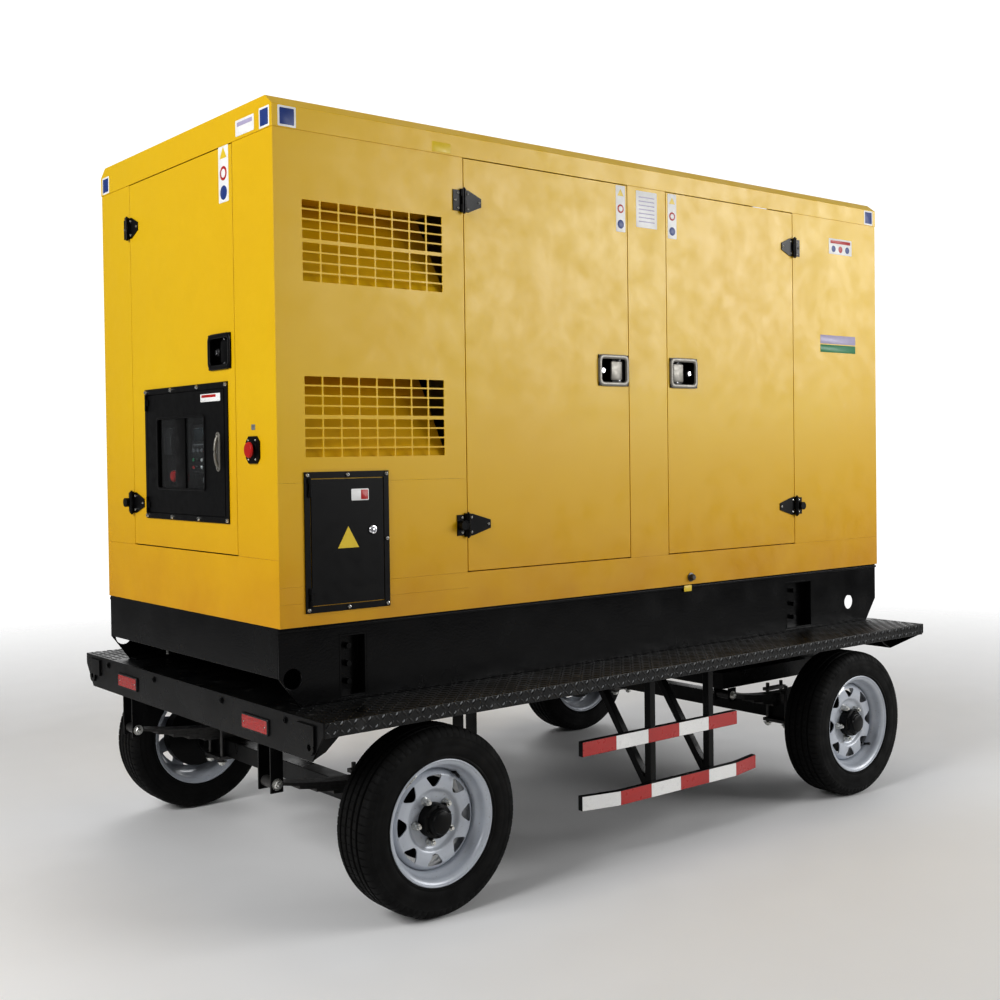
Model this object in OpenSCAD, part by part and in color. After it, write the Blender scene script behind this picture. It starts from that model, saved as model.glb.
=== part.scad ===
// Four-wheel towable diesel generator: a sheet-steel canopy with its generator set, on a flat trailer
// with a steered front bogie. X runs to the towing end, Z is up, and Z = 0 is the ground.

/* [Canopy] */
// Length of the canopy
canopy_l = 2822; // [2800:2:2840]
// Width of the canopy
canopy_w = 1200; // [1190:2:1210]
// Height of the canopy's lower edge above the ground
canopy_z = 836; // [830:1:840]
// Height of the canopy's highest line above the ground
roof_z = 2324; // [2318:1:2340]
// Height of the roof band from its lower edge to the roof's top
band_h = 92; // [86:1:96]
// Sheet thickness of the canopy panels
sheet = 3; // [2:0.5:4]

/* [Doors] */
// Depth of a door's folded edges
door_depth = 25; // [20:1:30]
// Gap around a door
door_gap = 3; // [2:0.5:4]
// Height of a side door's lower edge
side_door_z = 953; // [945:1:965]
// Height of the rear door's lower edge
rear_door_z = 1030; // [1020:1:1040]

/* [Trailer] */
// Height of the deck's top face
deck_z = 608; // [600:1:612]
// Half width of the deck
deck_half = 820; // [815:1:822]
// Height of the folded edge of the deck
skirt_h = 42; // [38:1:46]
// Height of the end beams
beam_h = 113; // [105:1:116]

/* [Wheels] */
// Tyre's outer radius
tyre_r = 272; // [270:1:274]
// Tyre's width
tyre_w = 158; // [150:1:162]
// Distance from the centre line to a tyre's outer face
track_half = 838; // [834:1:840]
// Rear axle's place, from the canopy's centre
rear_axle_x = -1028; // [-1034:1:-1020]
// Front axle's place, from the canopy's centre
front_axle_x = 943; // [936:1:948]

/* [Hidden] */
$fn = 48;

// The canopy's centre lies behind the whole object's centre by this much
body_x = -64.5;
// Gap left where two separate members are welded
seam = 0.3;
half_l = canopy_l / 2;
half_w = canopy_w / 2;
band_z = roof_z - band_h;
clear = 0.5;

// Colours
yellow = "#d9a520";
black = "#161616";
steel = "#b9bbbd";
white = "#d8dbde";
rubber = "#1c1c1d";
red = "#b3201c";

// Openings of the long sides, along X from the canopy's centre
grille_x = [-1320, -829];
grille_z = [1314, 1811];
grille_h = 229;
grille_cols = 8;
grille_rows = 8;
grille_bar = 5;
grille_mid_bar = 11;
terminal_x = [-1328, -1041];
terminal_z = [872, 1272];
door1_x = [-743, -33];
door2_x = [161, 868];
side_door_top = band_z - 2;

// Rear door and what it carries, along Y
rear_door_y = [-360, 367];
rear_door_top = band_z - 2;
window_y = [-316, 264];
window_z = [1120, 1541];
estop_y = -466;
estop_z = 1337;

// Latch: a pan with a swinging paddle
latch_w = 140;
latch_h = 105;
latch_depth = 34;
latch_wall = 2;
latch_pin_r = 3;
side_latch_z = 1594;
rear_latch_z = 1631;
side_latch_x = [-107, 242];
rear_latch_y = -270;

// Hinges: the pin stands off the face, and the door's edge starts just past it
pin_out = 9;
pin_r = 3.5;
pin_fit = 0.08;
knuckle_r = 7;
knuckle_l = 24;
knuckle_gap = 0.6;
door_from_pin = 5;
strap_t = 3;
strap_l = 72;
leaf_l = 38;
side_hinge_z = [1097, 2098];
rear_hinge_z = [1168, 2087];
near_pin_x = [door1_x[0] - door_from_pin, door2_x[1] + door_from_pin];
rear_pin_y = rear_door_y[1] + door_from_pin;

// Trailer frame
rail_y = 480;
rail_w = 50;
rail_h = 100;
plate_t = 6;
rail_z = deck_z - plate_t - rail_h;
deck_x = [-half_l, 1400];
rail_x = [deck_x[0] + plate_t, deck_x[1] - plate_t];
outrigger_h = 36;
cross_x = [-1310, -720, -300, 120, 500, 1300];
ring_member_x = [front_axle_x - 240, front_axle_x + 190];
member_w = 50;
beam_z = deck_z - beam_h;

// Running gear
axle_sq = 60;
spindle_r = 22;
spindle_fit = 0.06;
spring_half = 352;
spring_r = 1700;
leaf_t = 9;
leaf_pitch = 9.4;
leaf_w = 60;
leaf_count = 5;
eye_r = 16;
eye_bore = 8;
axle_top = tyre_r + axle_sq / 2;
axle_low = tyre_r - axle_sq / 2;
main_leaf_r = spring_r - (leaf_count - 1) * leaf_pitch;
spring_rise = main_leaf_r - sqrt(pow(main_leaf_r, 2) - pow(spring_half, 2));
eye_z = axle_top + (leaf_count - 1) * leaf_pitch + leaf_t / 2 + spring_rise;
ring_r = 405;
ring_inner_r = 350;
ring_t = 16;
ring_z = rail_z - ring_t;
bogie_top = ring_z - clear - ring_t;
bogie_h = 60;
bogie_x = [front_axle_x - 400, front_axle_x + 400];
king_r = 30;
king_fit = 0.08;
king_low = bogie_top - 70;

// Drawbar, stored upright about its hinge
drawbar_x = 1535;
drawbar_lean = 14;
drawbar_z = 440;
drawbar_half = 110;
drawbar_l = 1150;
drawbar_tube = 50;
drawbar_pin_r = 15;
drawbar_fit = 0.08;
eye_outer = 42;
eye_inner = 20;
eye_t = 28;

// Rim
rim_plane = track_half - 6;
flange_r = 181;
seat_r = 166;
drop_r = 148;
rim_h = tyre_w / 2 - 6;
disc_y = rim_plane - 52;
disc_t = 5;
hub_r = 46;
nut_circle_r = 60;
nut_r = 10;
nut_count = 5;
slot_count = 8;

module at_body() {
  translate([body_x, 0, 0]) children();
}

// A box given by its low and high corners
module span(low, high) {
  translate(low) cube([high[0] - low[0], high[1] - low[1], high[2] - low[2]]);
}

// A rod along Y
module rod_y(r, length, centre) {
  translate(centre) rotate([90, 0, 0]) cylinder(r = r, h = length, center = true);
}

// ---------------------------------------------------------------- trailer frame

module deck_plate() {
  color(black) at_body() {
    span([rail_x[0], -deck_half, deck_z - plate_t], [rail_x[1], deck_half, deck_z]);
    for (s = [-1, 1])
      span([rail_x[0], s * (deck_half - plate_t / 2) - plate_t / 2, deck_z - skirt_h],
           [rail_x[1], s * (deck_half - plate_t / 2) + plate_t / 2, deck_z - plate_t]);
  }
}

// A channel rail: a web with two flanges, open towards the centre line
module rail() {
  top = rail_z + rail_h;
  inner = rail_y - rail_w / 2;
  outer = rail_y + rail_w / 2;
  span([rail_x[0], outer - plate_t, rail_z], [rail_x[1], outer, top]);
  span([rail_x[0], inner, rail_z], [rail_x[1], outer, rail_z + plate_t]);
  span([rail_x[0], inner, top - plate_t], [rail_x[1], outer, top]);
}

// A member across the frame from -half to half, about x
module cross_member(x, half, low, top) {
  span([x - member_w / 2, -half, low], [x + member_w / 2, half, top]);
}

module chassis_frame() {
  top = rail_z + rail_h;
  web_y = rail_y + rail_w / 2 - plate_t - seam;
  flange_y = rail_y - rail_w / 2 - seam;
  color(black) at_body() {
    for (s = [0, 1])
      mirror([0, s, 0]) {
        rail();
        for (x = cross_x)
          span([x - member_w / 2, rail_y + rail_w / 2 + seam, top - outrigger_h],
               [x + member_w / 2, deck_half - plate_t - seam, top]);
      }
    for (x = cross_x) cross_member(x, web_y, rail_z + plate_t + seam, top - plate_t - seam);
    // two members carry the turntable
    for (x = ring_member_x) cross_member(x, flange_y, rail_z, top - plate_t);
  }
}

// A folded plate across the deck's end, its lower corners cut away
module end_beam(cut) {
  shoulder = 36;
  gusset_l = 105;
  gusset_nose = 20;
  skirt_z = deck_z - skirt_h;
  lip = 45;
  lip_half = rail_y - 60;
  rotate([90, 0, 90]) linear_extrude(plate_t)
    polygon([
      [-deck_half, deck_z], [-deck_half, deck_z - shoulder], [-deck_half + cut, beam_z],
      [deck_half - cut, beam_z], [deck_half, deck_z - shoulder], [deck_half, deck_z]
    ]);
  span([plate_t, -lip_half, beam_z], [lip, lip_half, beam_z + plate_t]);
  // a gusset at each end stiffens the corner under the deck
  for (s = [0, 1])
    mirror([0, s, 0]) translate([0, -deck_half + cut + plate_t, 0]) rotate([90, 0, 0])
      linear_extrude(plate_t)
        polygon([[0, beam_z], [0, skirt_z], [gusset_l, skirt_z], [lip, beam_z + gusset_nose]]);
}

// Lobed plate at an outer corner of the rear beam, drilled for a chain
lug_y = 756;
lug_z = 534;
lug_hole_r = 9;
lug_r = 22;

module beam_lug() {
  span([-plate_t, lug_y - 3 * lug_r, lug_z + 6], [0, lug_y + lug_r + 2, deck_z - plate_t - 7]);
  translate([-plate_t, lug_y, lug_z]) rotate([0, 90, 0]) cylinder(r = lug_r, h = plate_t);
}

module end_beams() {
  rear_cut = 60;
  front_cut = 149;
  color(black) at_body() {
    difference() {
      translate([deck_x[0], 0, 0]) {
        end_beam(rear_cut);
        for (s = [0, 1]) mirror([0, s, 0]) beam_lug();
      }
      for (s = [-1, 1])
        translate([deck_x[0] - plate_t - 1, s * lug_y, lug_z]) rotate([0, 90, 0])
          cylinder(r = lug_hole_r, h = 2 * plate_t + 2);
    }
    translate([deck_x[1], 0, 0]) mirror([1, 0, 0]) end_beam(front_cut);
  }
}

module rear_reflectors() {
  reflector_y = 450;
  reflector_z = 529;
  size = [5, 150, 40];
  color(red) at_body()
    for (s = [-1, 1])
      translate([deck_x[0] - size[0], s * reflector_y - size[1] / 2, reflector_z]) cube(size);
}

// Side guards hang below the deck between the axles
guard_y = 790;
guard_x = [-446, 291];
guard_low_x = [-422, 426];
guard_bend_x = [-286, 287];
guard_h = 48;
guard_t = 20;
guard_z = [176, 358];
guard_in = 30;
post_x = [-109, 179];
post_w = 26;

module guard_frame(side) {
  head_z = deck_z - plate_t - outrigger_h;
  head_low = head_z - plate_t;
  head_half = 60;
  post_out = guard_y - guard_t;
  post_in = post_out - post_w;
  web = rail_y + rail_w / 2;
  brace_h = 44;
  mirror([0, side, 0])
    for (x = post_x) {
      span([x - post_w / 2, post_in, guard_z[0]], [x + post_w / 2, post_out, head_low - seam]);
      // the brace leans from the post's foot to the chassis rail
      translate([x, 0, 0]) rotate([90, 0, 90]) translate([0, 0, -post_w / 2])
        linear_extrude(post_w)
          polygon([
            [post_in - seam, guard_z[0] + 10], [post_in - seam, guard_z[0] + 10 + brace_h],
            [web, head_low - 2], [web, head_low - 2 - brace_h]
          ]);
      // head plate that bolts under the outriggers
      span([x - head_half, web, head_low], [x + head_half, post_out, head_z]);
    }
}

module guard_frames() {
  color(black) at_body() for (s = [0, 1]) guard_frame(s);
}

module guard_rail(side) {
  mirror([0, side, 0]) {
    span([guard_x[0], guard_y - guard_t, guard_z[1]],
         [guard_x[1], guard_y, guard_z[1] + guard_h]);
    translate([0, 0, guard_z[0]]) linear_extrude(guard_h)
      polygon([
        [guard_low_x[0], guard_y - guard_in], [guard_bend_x[0], guard_y],
        [guard_bend_x[1], guard_y], [guard_low_x[1], guard_y - guard_in],
        [guard_low_x[1], guard_y - guard_in - guard_t], [guard_bend_x[1], guard_y - guard_t],
        [guard_bend_x[0], guard_y - guard_t], [guard_low_x[0], guard_y - guard_in - guard_t]
      ]);
  }
}

module guard_rails() {
  color(white) at_body() for (s = [0, 1]) guard_rail(s);
}

// ---------------------------------------------------------------- springs and axles

// One leaf: an arc of flat steel about an axis along Y, its lowest point at z
module leaf(z, radius, half_span) {
  sweep = 2 * asin(half_span / radius);
  translate([0, 0, z + radius]) rotate([90, 0, 0]) rotate([0, 0, -90 - sweep / 2])
    rotate_extrude(angle = sweep, $fn = 180)
      translate([radius - leaf_t, -leaf_w / 2]) square([leaf_t, leaf_w]);
}

module spring_pack() {
  for (i = [0:leaf_count - 1])
    leaf(axle_top + i * leaf_pitch, spring_r - i * leaf_pitch,
         spring_half - eye_r - 1 - (leaf_count - 1 - i) * 58);
  // clamp plates and the four bolts that squeeze the pack onto the axle
  pack_top = axle_top + leaf_count * leaf_pitch + 1;
  for (s = [-1, 1])
    span([-58, s * 45 - 12, pack_top], [58, s * 45 + 12, pack_top + 12]);
  span([-58, -57, axle_low - 12], [58, 57, axle_low]);
  for (x = [-42, 42])
    for (y = [-45, 45])
      translate([x, y, axle_low - 30]) cylinder(r = 7, h = pack_top - axle_low + 60);
}

// The rolled eyes at a main leaf's ends, with their pins
module spring_eyes() {
  for (s = [-1, 1])
    translate([s * (spring_half + 2), 0, eye_z]) rotate([90, 0, 0]) difference() {
      cylinder(r = eye_r, h = leaf_w, center = true);
      cylinder(r = eye_bore, h = leaf_w + 2, center = true);
    }
}

module rear_springs() {
  color(black) at_body()
    for (s = [-1, 1]) translate([rear_axle_x, s * rail_y, 0]) {
      spring_pack();
      spring_eyes();
    }
}

module front_springs() {
  color(black) at_body()
    for (s = [-1, 1]) translate([front_axle_x, s * rail_y, 0]) {
      spring_pack();
      spring_eyes();
    }
}

// Two cheeks and a pin that hold a spring eye below a rail
module hanger(top) {
  cheek_t = 6;
  cheek_y = leaf_w / 2 + 2;
  for (s = [-1, 1])
    translate([0, s * (cheek_y + cheek_t / 2), 0]) {
      span([-20, -cheek_t / 2, eye_z - 24], [20, cheek_t / 2, top]);
    }
  rod_y(eye_bore - 0.3, 2 * cheek_y + 1, [0, 0, eye_z]);
}

module rear_hangers() {
  color(black) at_body()
    for (s = [-1, 1])
      for (e = [-1, 1])
        translate([rear_axle_x + e * (spring_half + 2), s * rail_y, 0]) {
          hanger(rail_z - plate_t);
          span([-22, -44, rail_z - plate_t], [22, 44, rail_z]);
        }
}

module axle() {
  beam_half = 600;
  spindle_end = disc_y + 36;
  translate([0, 0, tyre_r]) {
    cube([axle_sq, 2 * beam_half, axle_sq], center = true);
    for (s = [-1, 1])
      translate([0, s * beam_half, 0]) rotate([s * -90, 0, 0])
        cylinder(r = spindle_r, h = spindle_end - beam_half);
    for (s = [-1, 1])
      translate([0, s * (beam_half + 12), 0]) rotate([90, 0, 0])
        cylinder(r = 52, h = 24, center = true);
  }
}

module rear_axle() {
  color(black) at_body() translate([rear_axle_x, 0, 0]) axle();
}

module front_axle() {
  color(black) at_body() translate([front_axle_x, 0, 0]) axle();
}

// ---------------------------------------------------------------- turntable, bogie and drawbar

module ring_plate(z) {
  translate([front_axle_x, 0, z]) difference() {
    cylinder(r = ring_r, h = ring_t, $fn = 96);
    translate([0, 0, -1]) cylinder(r = ring_inner_r, h = ring_t + 2, $fn = 96);
  }
}

// Upper ring, with a cross bar that carries the king pin
module turntable_ring() {
  color(black) at_body() {
    ring_plate(ring_z);
    span([front_axle_x - 60, -ring_inner_r - 10, ring_z], [front_axle_x + 60, ring_inner_r + 10, rail_z]);
    translate([front_axle_x, 0, king_low]) cylinder(r = king_r, h = ring_z - king_low + 1);
  }
}

module bogie_frame() {
  low = bogie_top - bogie_h;
  tongue_half = 160;
  color("#1b1b1c") at_body() {
    ring_plate(bogie_top);
    difference() {
      union() {
        for (s = [-1, 1])
          span([bogie_x[0], s * rail_y - 30, low], [bogie_x[1], s * rail_y + 30, bogie_top]);
        for (x = [front_axle_x - 330, front_axle_x, front_axle_x + 330])
          span([x - 40, -rail_y, low], [x + 40, rail_y, bogie_top]);
        // tongue that reaches forward to the drawbar's hinge
        for (s = [-1, 1])
          span([front_axle_x + 330, s * tongue_half - 24, low],
               [drawbar_x, s * tongue_half + 24, bogie_top]);
        for (s = [-1, 1])
          translate([drawbar_x, s * tongue_half, drawbar_z]) rotate([90, 0, 0])
            cylinder(r = bogie_h / 2 - 1, h = 48, center = true);
      }
      translate([front_axle_x, 0, low - 1]) cylinder(r = king_r + king_fit, h = bogie_h + 2);
      rod_y(drawbar_pin_r + drawbar_fit, 500, [drawbar_x, 0, drawbar_z]);
    }
    for (s = [-1, 1])
      for (e = [-1, 1])
        translate([front_axle_x + e * (spring_half + 2), s * rail_y, 0]) hanger(low);
  }
}

// Two tubes that run together from the hinge tube to the eye's socket
module drawbar() {
  eye_end = drawbar_z + drawbar_l;
  t = drawbar_tube / 2;
  bar_x = drawbar_x - drawbar_lean;
  color(black) at_body() {
    difference() {
      union() {
        rod_y(t, 2 * drawbar_half + 46, [drawbar_x, 0, drawbar_z]);
        for (s = [0, 1])
          mirror([0, s, 0])
            translate([bar_x - t, 0, 0]) rotate([90, 0, 90])
              linear_extrude(drawbar_tube)
                polygon([
                  [drawbar_half - t, drawbar_z], [drawbar_half + t - 2, drawbar_z],
                  [t + 6, eye_end - 160], [6 - t, eye_end - 160]
                ]);
        span([bar_x - t, -t - 8, eye_end - 170], [bar_x + t, t + 8, eye_end]);
        span([bar_x - t, -drawbar_half * 0.7, drawbar_z + 330],
             [bar_x + t, drawbar_half * 0.7, drawbar_z + 370]);
      }
      translate([bar_x, 0, eye_end - 120]) cylinder(r = 14, h = 200);
    }
    // the hinge pin, fast in the drawbar and turning in the bogie's ears
    rod_y(drawbar_pin_r, 2 * 184 + 14, [drawbar_x, 0, drawbar_z]);
  }
}

// Forged towing eye on a shank
module tow_eye() {
  z = drawbar_z + drawbar_l;
  color("#3a3a3c") at_body() translate([drawbar_x - drawbar_lean, 0, 0]) difference() {
    union() {
      translate([0, 0, z - 119]) cylinder(r = 13.8, h = 119 + eye_outer / 2);
      translate([0, 0, z + eye_outer + 4]) rotate([0, 90, 0])
        cylinder(r = eye_outer, h = eye_t, center = true);
      translate([0, 0, z]) cylinder(r = 22, h = 12);
    }
    translate([0, 0, z + eye_outer + 4]) rotate([0, 90, 0])
      cylinder(r = eye_inner, h = eye_t + 2, center = true);
  }
}

// ---------------------------------------------------------------- base skid

base_half = half_w - 10;
base_chamfer = 65;
base_chamfer_z = 694;
tie_hole_r = 29;
tie_hole = [[-1367, 690], [1229, 692]];
pocket_x = [[-1212, -1119], [825, 985]];
pocket_z = [618, 801];
pocket_d = 43;
skid_top = canopy_z - 6;
bearer_z = skid_top - 60;

module skid_outline() {
  polygon([
    [-half_l, canopy_z], [-half_l, base_chamfer_z], [-half_l + base_chamfer, deck_z],
    [half_l - base_chamfer, deck_z], [half_l, base_chamfer_z], [half_l, canopy_z]
  ]);
}

// Side plate with its tie holes and the cut-outs for the brackets
module skid_plate() {
  difference() {
    translate([0, -base_half + plate_t, 0]) rotate([90, 0, 0]) linear_extrude(plate_t)
      difference() {
        skid_outline();
        for (p = pocket_x)
          translate([p[0], pocket_z[0]]) square([p[1] - p[0], pocket_z[1] - pocket_z[0]]);
      }
    for (h = tie_hole) rod_y(tie_hole_r, 40, [h[0], -base_half, h[1]]);
  }
}

// Lip under the canopy, and the foot flange on the deck
module skid_edges() {
  lip = [6, 8];
  foot_w = 54;
  foot_y = -base_half + plate_t + seam;
  span([-half_l, -base_half - lip[0], skid_top - lip[1]], [half_l, -base_half - seam, skid_top]);
  span([-half_l + base_chamfer, foot_y, deck_z],
       [half_l - base_chamfer, foot_y + foot_w, deck_z + plate_t]);
}

// Sheet fuel tank with an open filler neck
module fuel_tank() {
  tank_x = [-1080, 780];
  tank_half = 500;
  low = deck_z + 24;
  top = bearer_z - seam;
  wall = 4;
  neck = [600, -430];
  neck_r = 32;
  difference() {
    union() {
      span([tank_x[0], -tank_half, low], [tank_x[1], tank_half, top]);
      translate([neck[0], neck[1], top - wall]) cylinder(r = neck_r, h = 40);
    }
    span([tank_x[0] + wall, -tank_half + wall, low + wall],
         [tank_x[1] - wall, tank_half - wall, top - wall]);
    translate([neck[0], neck[1], top - 2 * wall]) cylinder(r = neck_r - wall, h = 60);
  }
}

module base_skid() {
  bearer_y = 300;
  bearer_w = 80;
  bearer_x = [-1000, -330, 330, 1040];
  cross_w = 60;
  cross_top = bearer_z + 30;
  inner_y = base_half - plate_t - seam;
  inner_x = half_l - plate_t - seam;
  color(black) at_body() {
    for (s = [0, 1])
      mirror([0, s, 0]) {
        skid_plate();
        skid_edges();
        span([-inner_x, bearer_y - bearer_w / 2, cross_top + seam],
             [inner_x, bearer_y + bearer_w / 2, canopy_z]);
      }
    for (s = [0, 1])
      mirror([s, 0, 0])
        span([half_l - plate_t, -inner_y, base_chamfer_z], [half_l, inner_y, canopy_z]);
    for (x = bearer_x)
      span([x - cross_w / 2, -inner_y, bearer_z], [x + cross_w / 2, inner_y, cross_top]);
    fuel_tank();
  }
}

module pocket(x) {
  difference() {
    span([x[0], -base_half, pocket_z[0]], [x[1], -base_half + pocket_d, pocket_z[1]]);
    span([x[0] + plate_t, -base_half - 1, pocket_z[0] + plate_t],
         [x[1] - plate_t, -base_half + pocket_d - plate_t, pocket_z[1] - plate_t]);
  }
  for (z = [-52, 0, 52])
    rod_y(9, 16, [(x[0] + x[1]) / 2, -base_half + pocket_d - plate_t - 7.9,
                  (pocket_z[0] + pocket_z[1]) / 2 + z]);
}

module base_brackets() {
  color(black) at_body()
    for (s = [0, 1]) mirror([0, s, 0]) for (x = pocket_x) pocket(x);
}

// ---------------------------------------------------------------- canopy shell

// A slot with cut corners, its lower left corner at the origin
module slot_2d(w, h) {
  c = 2;
  polygon([[c, 0], [w - c, 0], [w, c], [w, h - c], [w - c, h], [c, h], [0, h - c], [0, c]]);
}

// Rows and columns of slots, with a wider bar halfway up
module grille_2d(w, h) {
  slot_w = (w - grille_bar * (grille_cols - 1)) / grille_cols;
  slot_h = (h - grille_bar * (grille_rows - 2) - grille_mid_bar) / grille_rows;
  for (i = [0:grille_cols - 1])
    for (j = [0:grille_rows - 1])
      translate([
        i * (slot_w + grille_bar),
        j * (slot_h + grille_bar) + (j >= grille_rows / 2 ? grille_mid_bar - grille_bar : 0)
      ])
        slot_2d(slot_w, slot_h);
}

// A folded edge and a stop lip around an opening, in the plane of a long side's outline
module rebate(x, z, top) {
  edge = 3;
  lip = 12;
  low = z - door_gap - edge;
  depth = door_depth + 1;
  fold = depth + edge - sheet - seam;
  for (s = [0, 1]) {
    side = s == 0 ? x[0] - door_gap : x[1] + door_gap;
    translate([s == 0 ? side - edge : side, low, sheet + seam]) cube([edge, top - z, fold]);
    translate([s == 0 ? side - edge : side - lip, low, depth]) cube([lip + edge, top - z, edge]);
  }
  sill = x[0] - door_gap + lip + seam;
  sill_l = x[1] + door_gap - lip - seam - sill;
  translate([sill, low, sheet + seam]) cube([sill_l, edge, fold]);
  translate([sill, low, depth]) cube([sill_l, lip + edge, edge]);
}

// A sloping splash plate behind a grille, and the plate that closes it on top
module splash_plates(z, width) {
  reach = 147;
  over = 12;
  top = z + grille_h + over;
  foot = sheet + seam;
  translate([grille_x[0] - over, 0, 0]) {
    rotate([90, 0, 90]) linear_extrude(width + 2 * over)
      polygon([
        [z - over, foot], [z - over, foot + sheet], [top, foot + sheet + reach], [top + 3, foot + reach]
      ]);
    translate([0, top + 3 + seam, foot]) cube([width + 2 * over, sheet, reach + sheet]);
  }
}

// The near long side, drawn flat and stood up: X along, Y up, thickness inwards
module side_flat() {
  grille_w = grille_x[1] - grille_x[0];
  cover_side = 24;
  cover_end = 30;
  hole_z = [terminal_z[0] + cover_end, terminal_z[1] - cover_end];
  linear_extrude(sheet) difference() {
    translate([-half_l, canopy_z]) square([canopy_l, band_z - canopy_z]);
    for (d = [door1_x, door2_x])
      translate([d[0] - door_gap, side_door_z - door_gap])
        square([d[1] - d[0] + 2 * door_gap, band_z - side_door_z + 10]);
    for (z = grille_z) translate([grille_x[0], z]) grille_2d(grille_w, grille_h);
    translate([terminal_x[0] + cover_side, hole_z[0]])
      square([terminal_x[1] - terminal_x[0] - 2 * cover_side, hole_z[1] - hole_z[0]]);
    // butt joints between the sheets that make up the side
    translate([-half_l - 1, side_door_z - door_gap - seam]) square([canopy_l + 2, seam]);
    for (z = [hole_z[0] - seam, hole_z[1]])
      translate([-half_l - 1, z]) square([door1_x[0] + half_l, seam]);
  }
  for (d = [door1_x, door2_x]) rebate(d, side_door_z, band_z - 4);
  for (z = grille_z) splash_plates(z, grille_w);
}

module side_panel() {
  translate([0, -half_w, 0]) multmatrix([[1, 0, 0, 0], [0, 0, 1, 0], [0, 1, 0, 0], [0, 0, 0, 1]])
    side_flat();
}

module near_side_panel() {
  color(yellow) at_body() side_panel();
}

module far_side_panel() {
  color(yellow) at_body() mirror([0, 1, 0]) side_panel();
}

// The rear end: an opening for the control door, folded edges inwards
module rear_panel() {
  wall_half = half_w - sheet;
  edge = 3;
  lip = 18;
  color(yellow) at_body() {
    span([-half_l, -wall_half, canopy_z], [-half_l + sheet, wall_half, rear_door_z - door_gap - seam]);
    difference() {
      span([-half_l, -wall_half, rear_door_z - door_gap], [-half_l + sheet, wall_half, band_z]);
      span([-half_l - 1, rear_door_y[0] - door_gap, rear_door_z - door_gap],
           [-half_l + sheet + 1, rear_door_y[1] + door_gap, band_z + 1]);
      translate([-half_l - 1, estop_y, estop_z]) rotate([0, 90, 0]) cylinder(r = 16, h = sheet + 2);
    }
    // a folded edge and a stop lip at both sides of the opening
    for (y = [rear_door_y[0] - door_gap - edge, rear_door_y[1] + door_gap])
      span([-half_l + sheet + seam, y, rear_door_z - door_gap],
           [-half_l + door_depth + 1 + edge, y + edge, band_z - 8]);
    for (y = [rear_door_y[0] - door_gap, rear_door_y[1] + door_gap - lip])
      span([-half_l + door_depth + 1, y, rear_door_z],
           [-half_l + door_depth + 1 + edge, y + lip, band_z - 8]);
  }
}

// The front end, where the radiator blows out
module front_panel() {
  wall_half = half_w - sheet;
  vent_w = 440;
  vent_y = [-470, 30];
  vent_z = [1180, 1470, 1760];
  color(yellow) at_body()
    translate([half_l - sheet, 0, 0]) rotate([90, 0, 90]) linear_extrude(sheet) difference() {
      translate([-wall_half, canopy_z]) square([2 * wall_half, band_z - canopy_z]);
      for (y = vent_y) for (z = vent_z) translate([y, z]) grille_2d(vent_w, grille_h);
    }
}

// Roof cover: a flat top, a sloping edge along both long sides, and a band all round
module roof() {
  proud = 2;
  slope_z = roof_z - 29;
  slope_y = 35;
  out = half_w + proud;
  color(yellow) at_body() difference() {
    rotate([90, 0, 90]) translate([0, 0, -half_l - proud]) linear_extrude(canopy_l + 2 * proud)
      polygon([
        [-out, band_z], [-out, slope_z], [-half_w + slope_y, roof_z],
        [half_w - slope_y, roof_z], [out, slope_z], [out, band_z]
      ]);
    rotate([90, 0, 90]) translate([0, 0, -half_l - proud + sheet])
      linear_extrude(canopy_l + 2 * proud - 2 * sheet)
        polygon([
          [-out + sheet, band_z - 1], [-out + sheet, slope_z - 1],
          [-half_w + slope_y + 1, roof_z - sheet], [half_w - slope_y - 1, roof_z - sheet],
          [out - sheet, slope_z - 1], [out - sheet, band_z - 1]
        ]);
    // exhaust outlet
    translate([1060, -250, roof_z - 10]) cylinder(r = 62, h = 20);
  }
}

// ---------------------------------------------------------------- hinges and latches

// Places a fitting on the near long side: u runs from the pin over the door, v outwards
module on_near(x, flip) {
  translate([x, -half_w, 0]) mirror([flip, 0, 0]) mirror([0, 1, 0]) children();
}

// The same on the rear end, where the door runs towards the near side
module on_rear(y) {
  translate([-half_l, y, 0]) rotate([0, 0, -90]) mirror([0, 1, 0]) children();
}

module fixed_leaf(low) {
  reach = 1.5 * knuckle_l;
  translate([-leaf_l, 0, -32]) cube([leaf_l - 4, strap_t, 64]);
  for (w = [-reach, reach - knuckle_l + knuckle_gap]) {
    translate([0, pin_out, w]) cylinder(r = knuckle_r, h = knuckle_l - knuckle_gap);
    translate([-10, 0, w]) cube([10, pin_out, knuckle_l - knuckle_gap]);
  }
  translate([0, pin_out, -reach - 4]) cylinder(r = pin_r, h = 2 * reach + 8);
  // a round bumper on the lower hinges
  if (low) translate([-22, 0, 0]) rotate([-90, 0, 0]) cylinder(r = 15, h = 24);
}

module moving_leaf(length) {
  difference() {
    union() {
      translate([0, pin_out, -knuckle_l / 2]) cylinder(r = knuckle_r, h = knuckle_l);
      translate([0, 0, -knuckle_l / 2]) cube([10, pin_out, knuckle_l]);
      rotate([-90, 0, 0]) linear_extrude(strap_t)
        polygon([
          [door_from_pin + 1, -34], [door_from_pin + 17, -34], [length, -13], [length, 13],
          [door_from_pin + 17, 34], [door_from_pin + 1, 34]
        ]);
    }
    translate([0, pin_out, -knuckle_l]) cylinder(r = pin_r + pin_fit, h = 2 * knuckle_l);
  }
}

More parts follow.
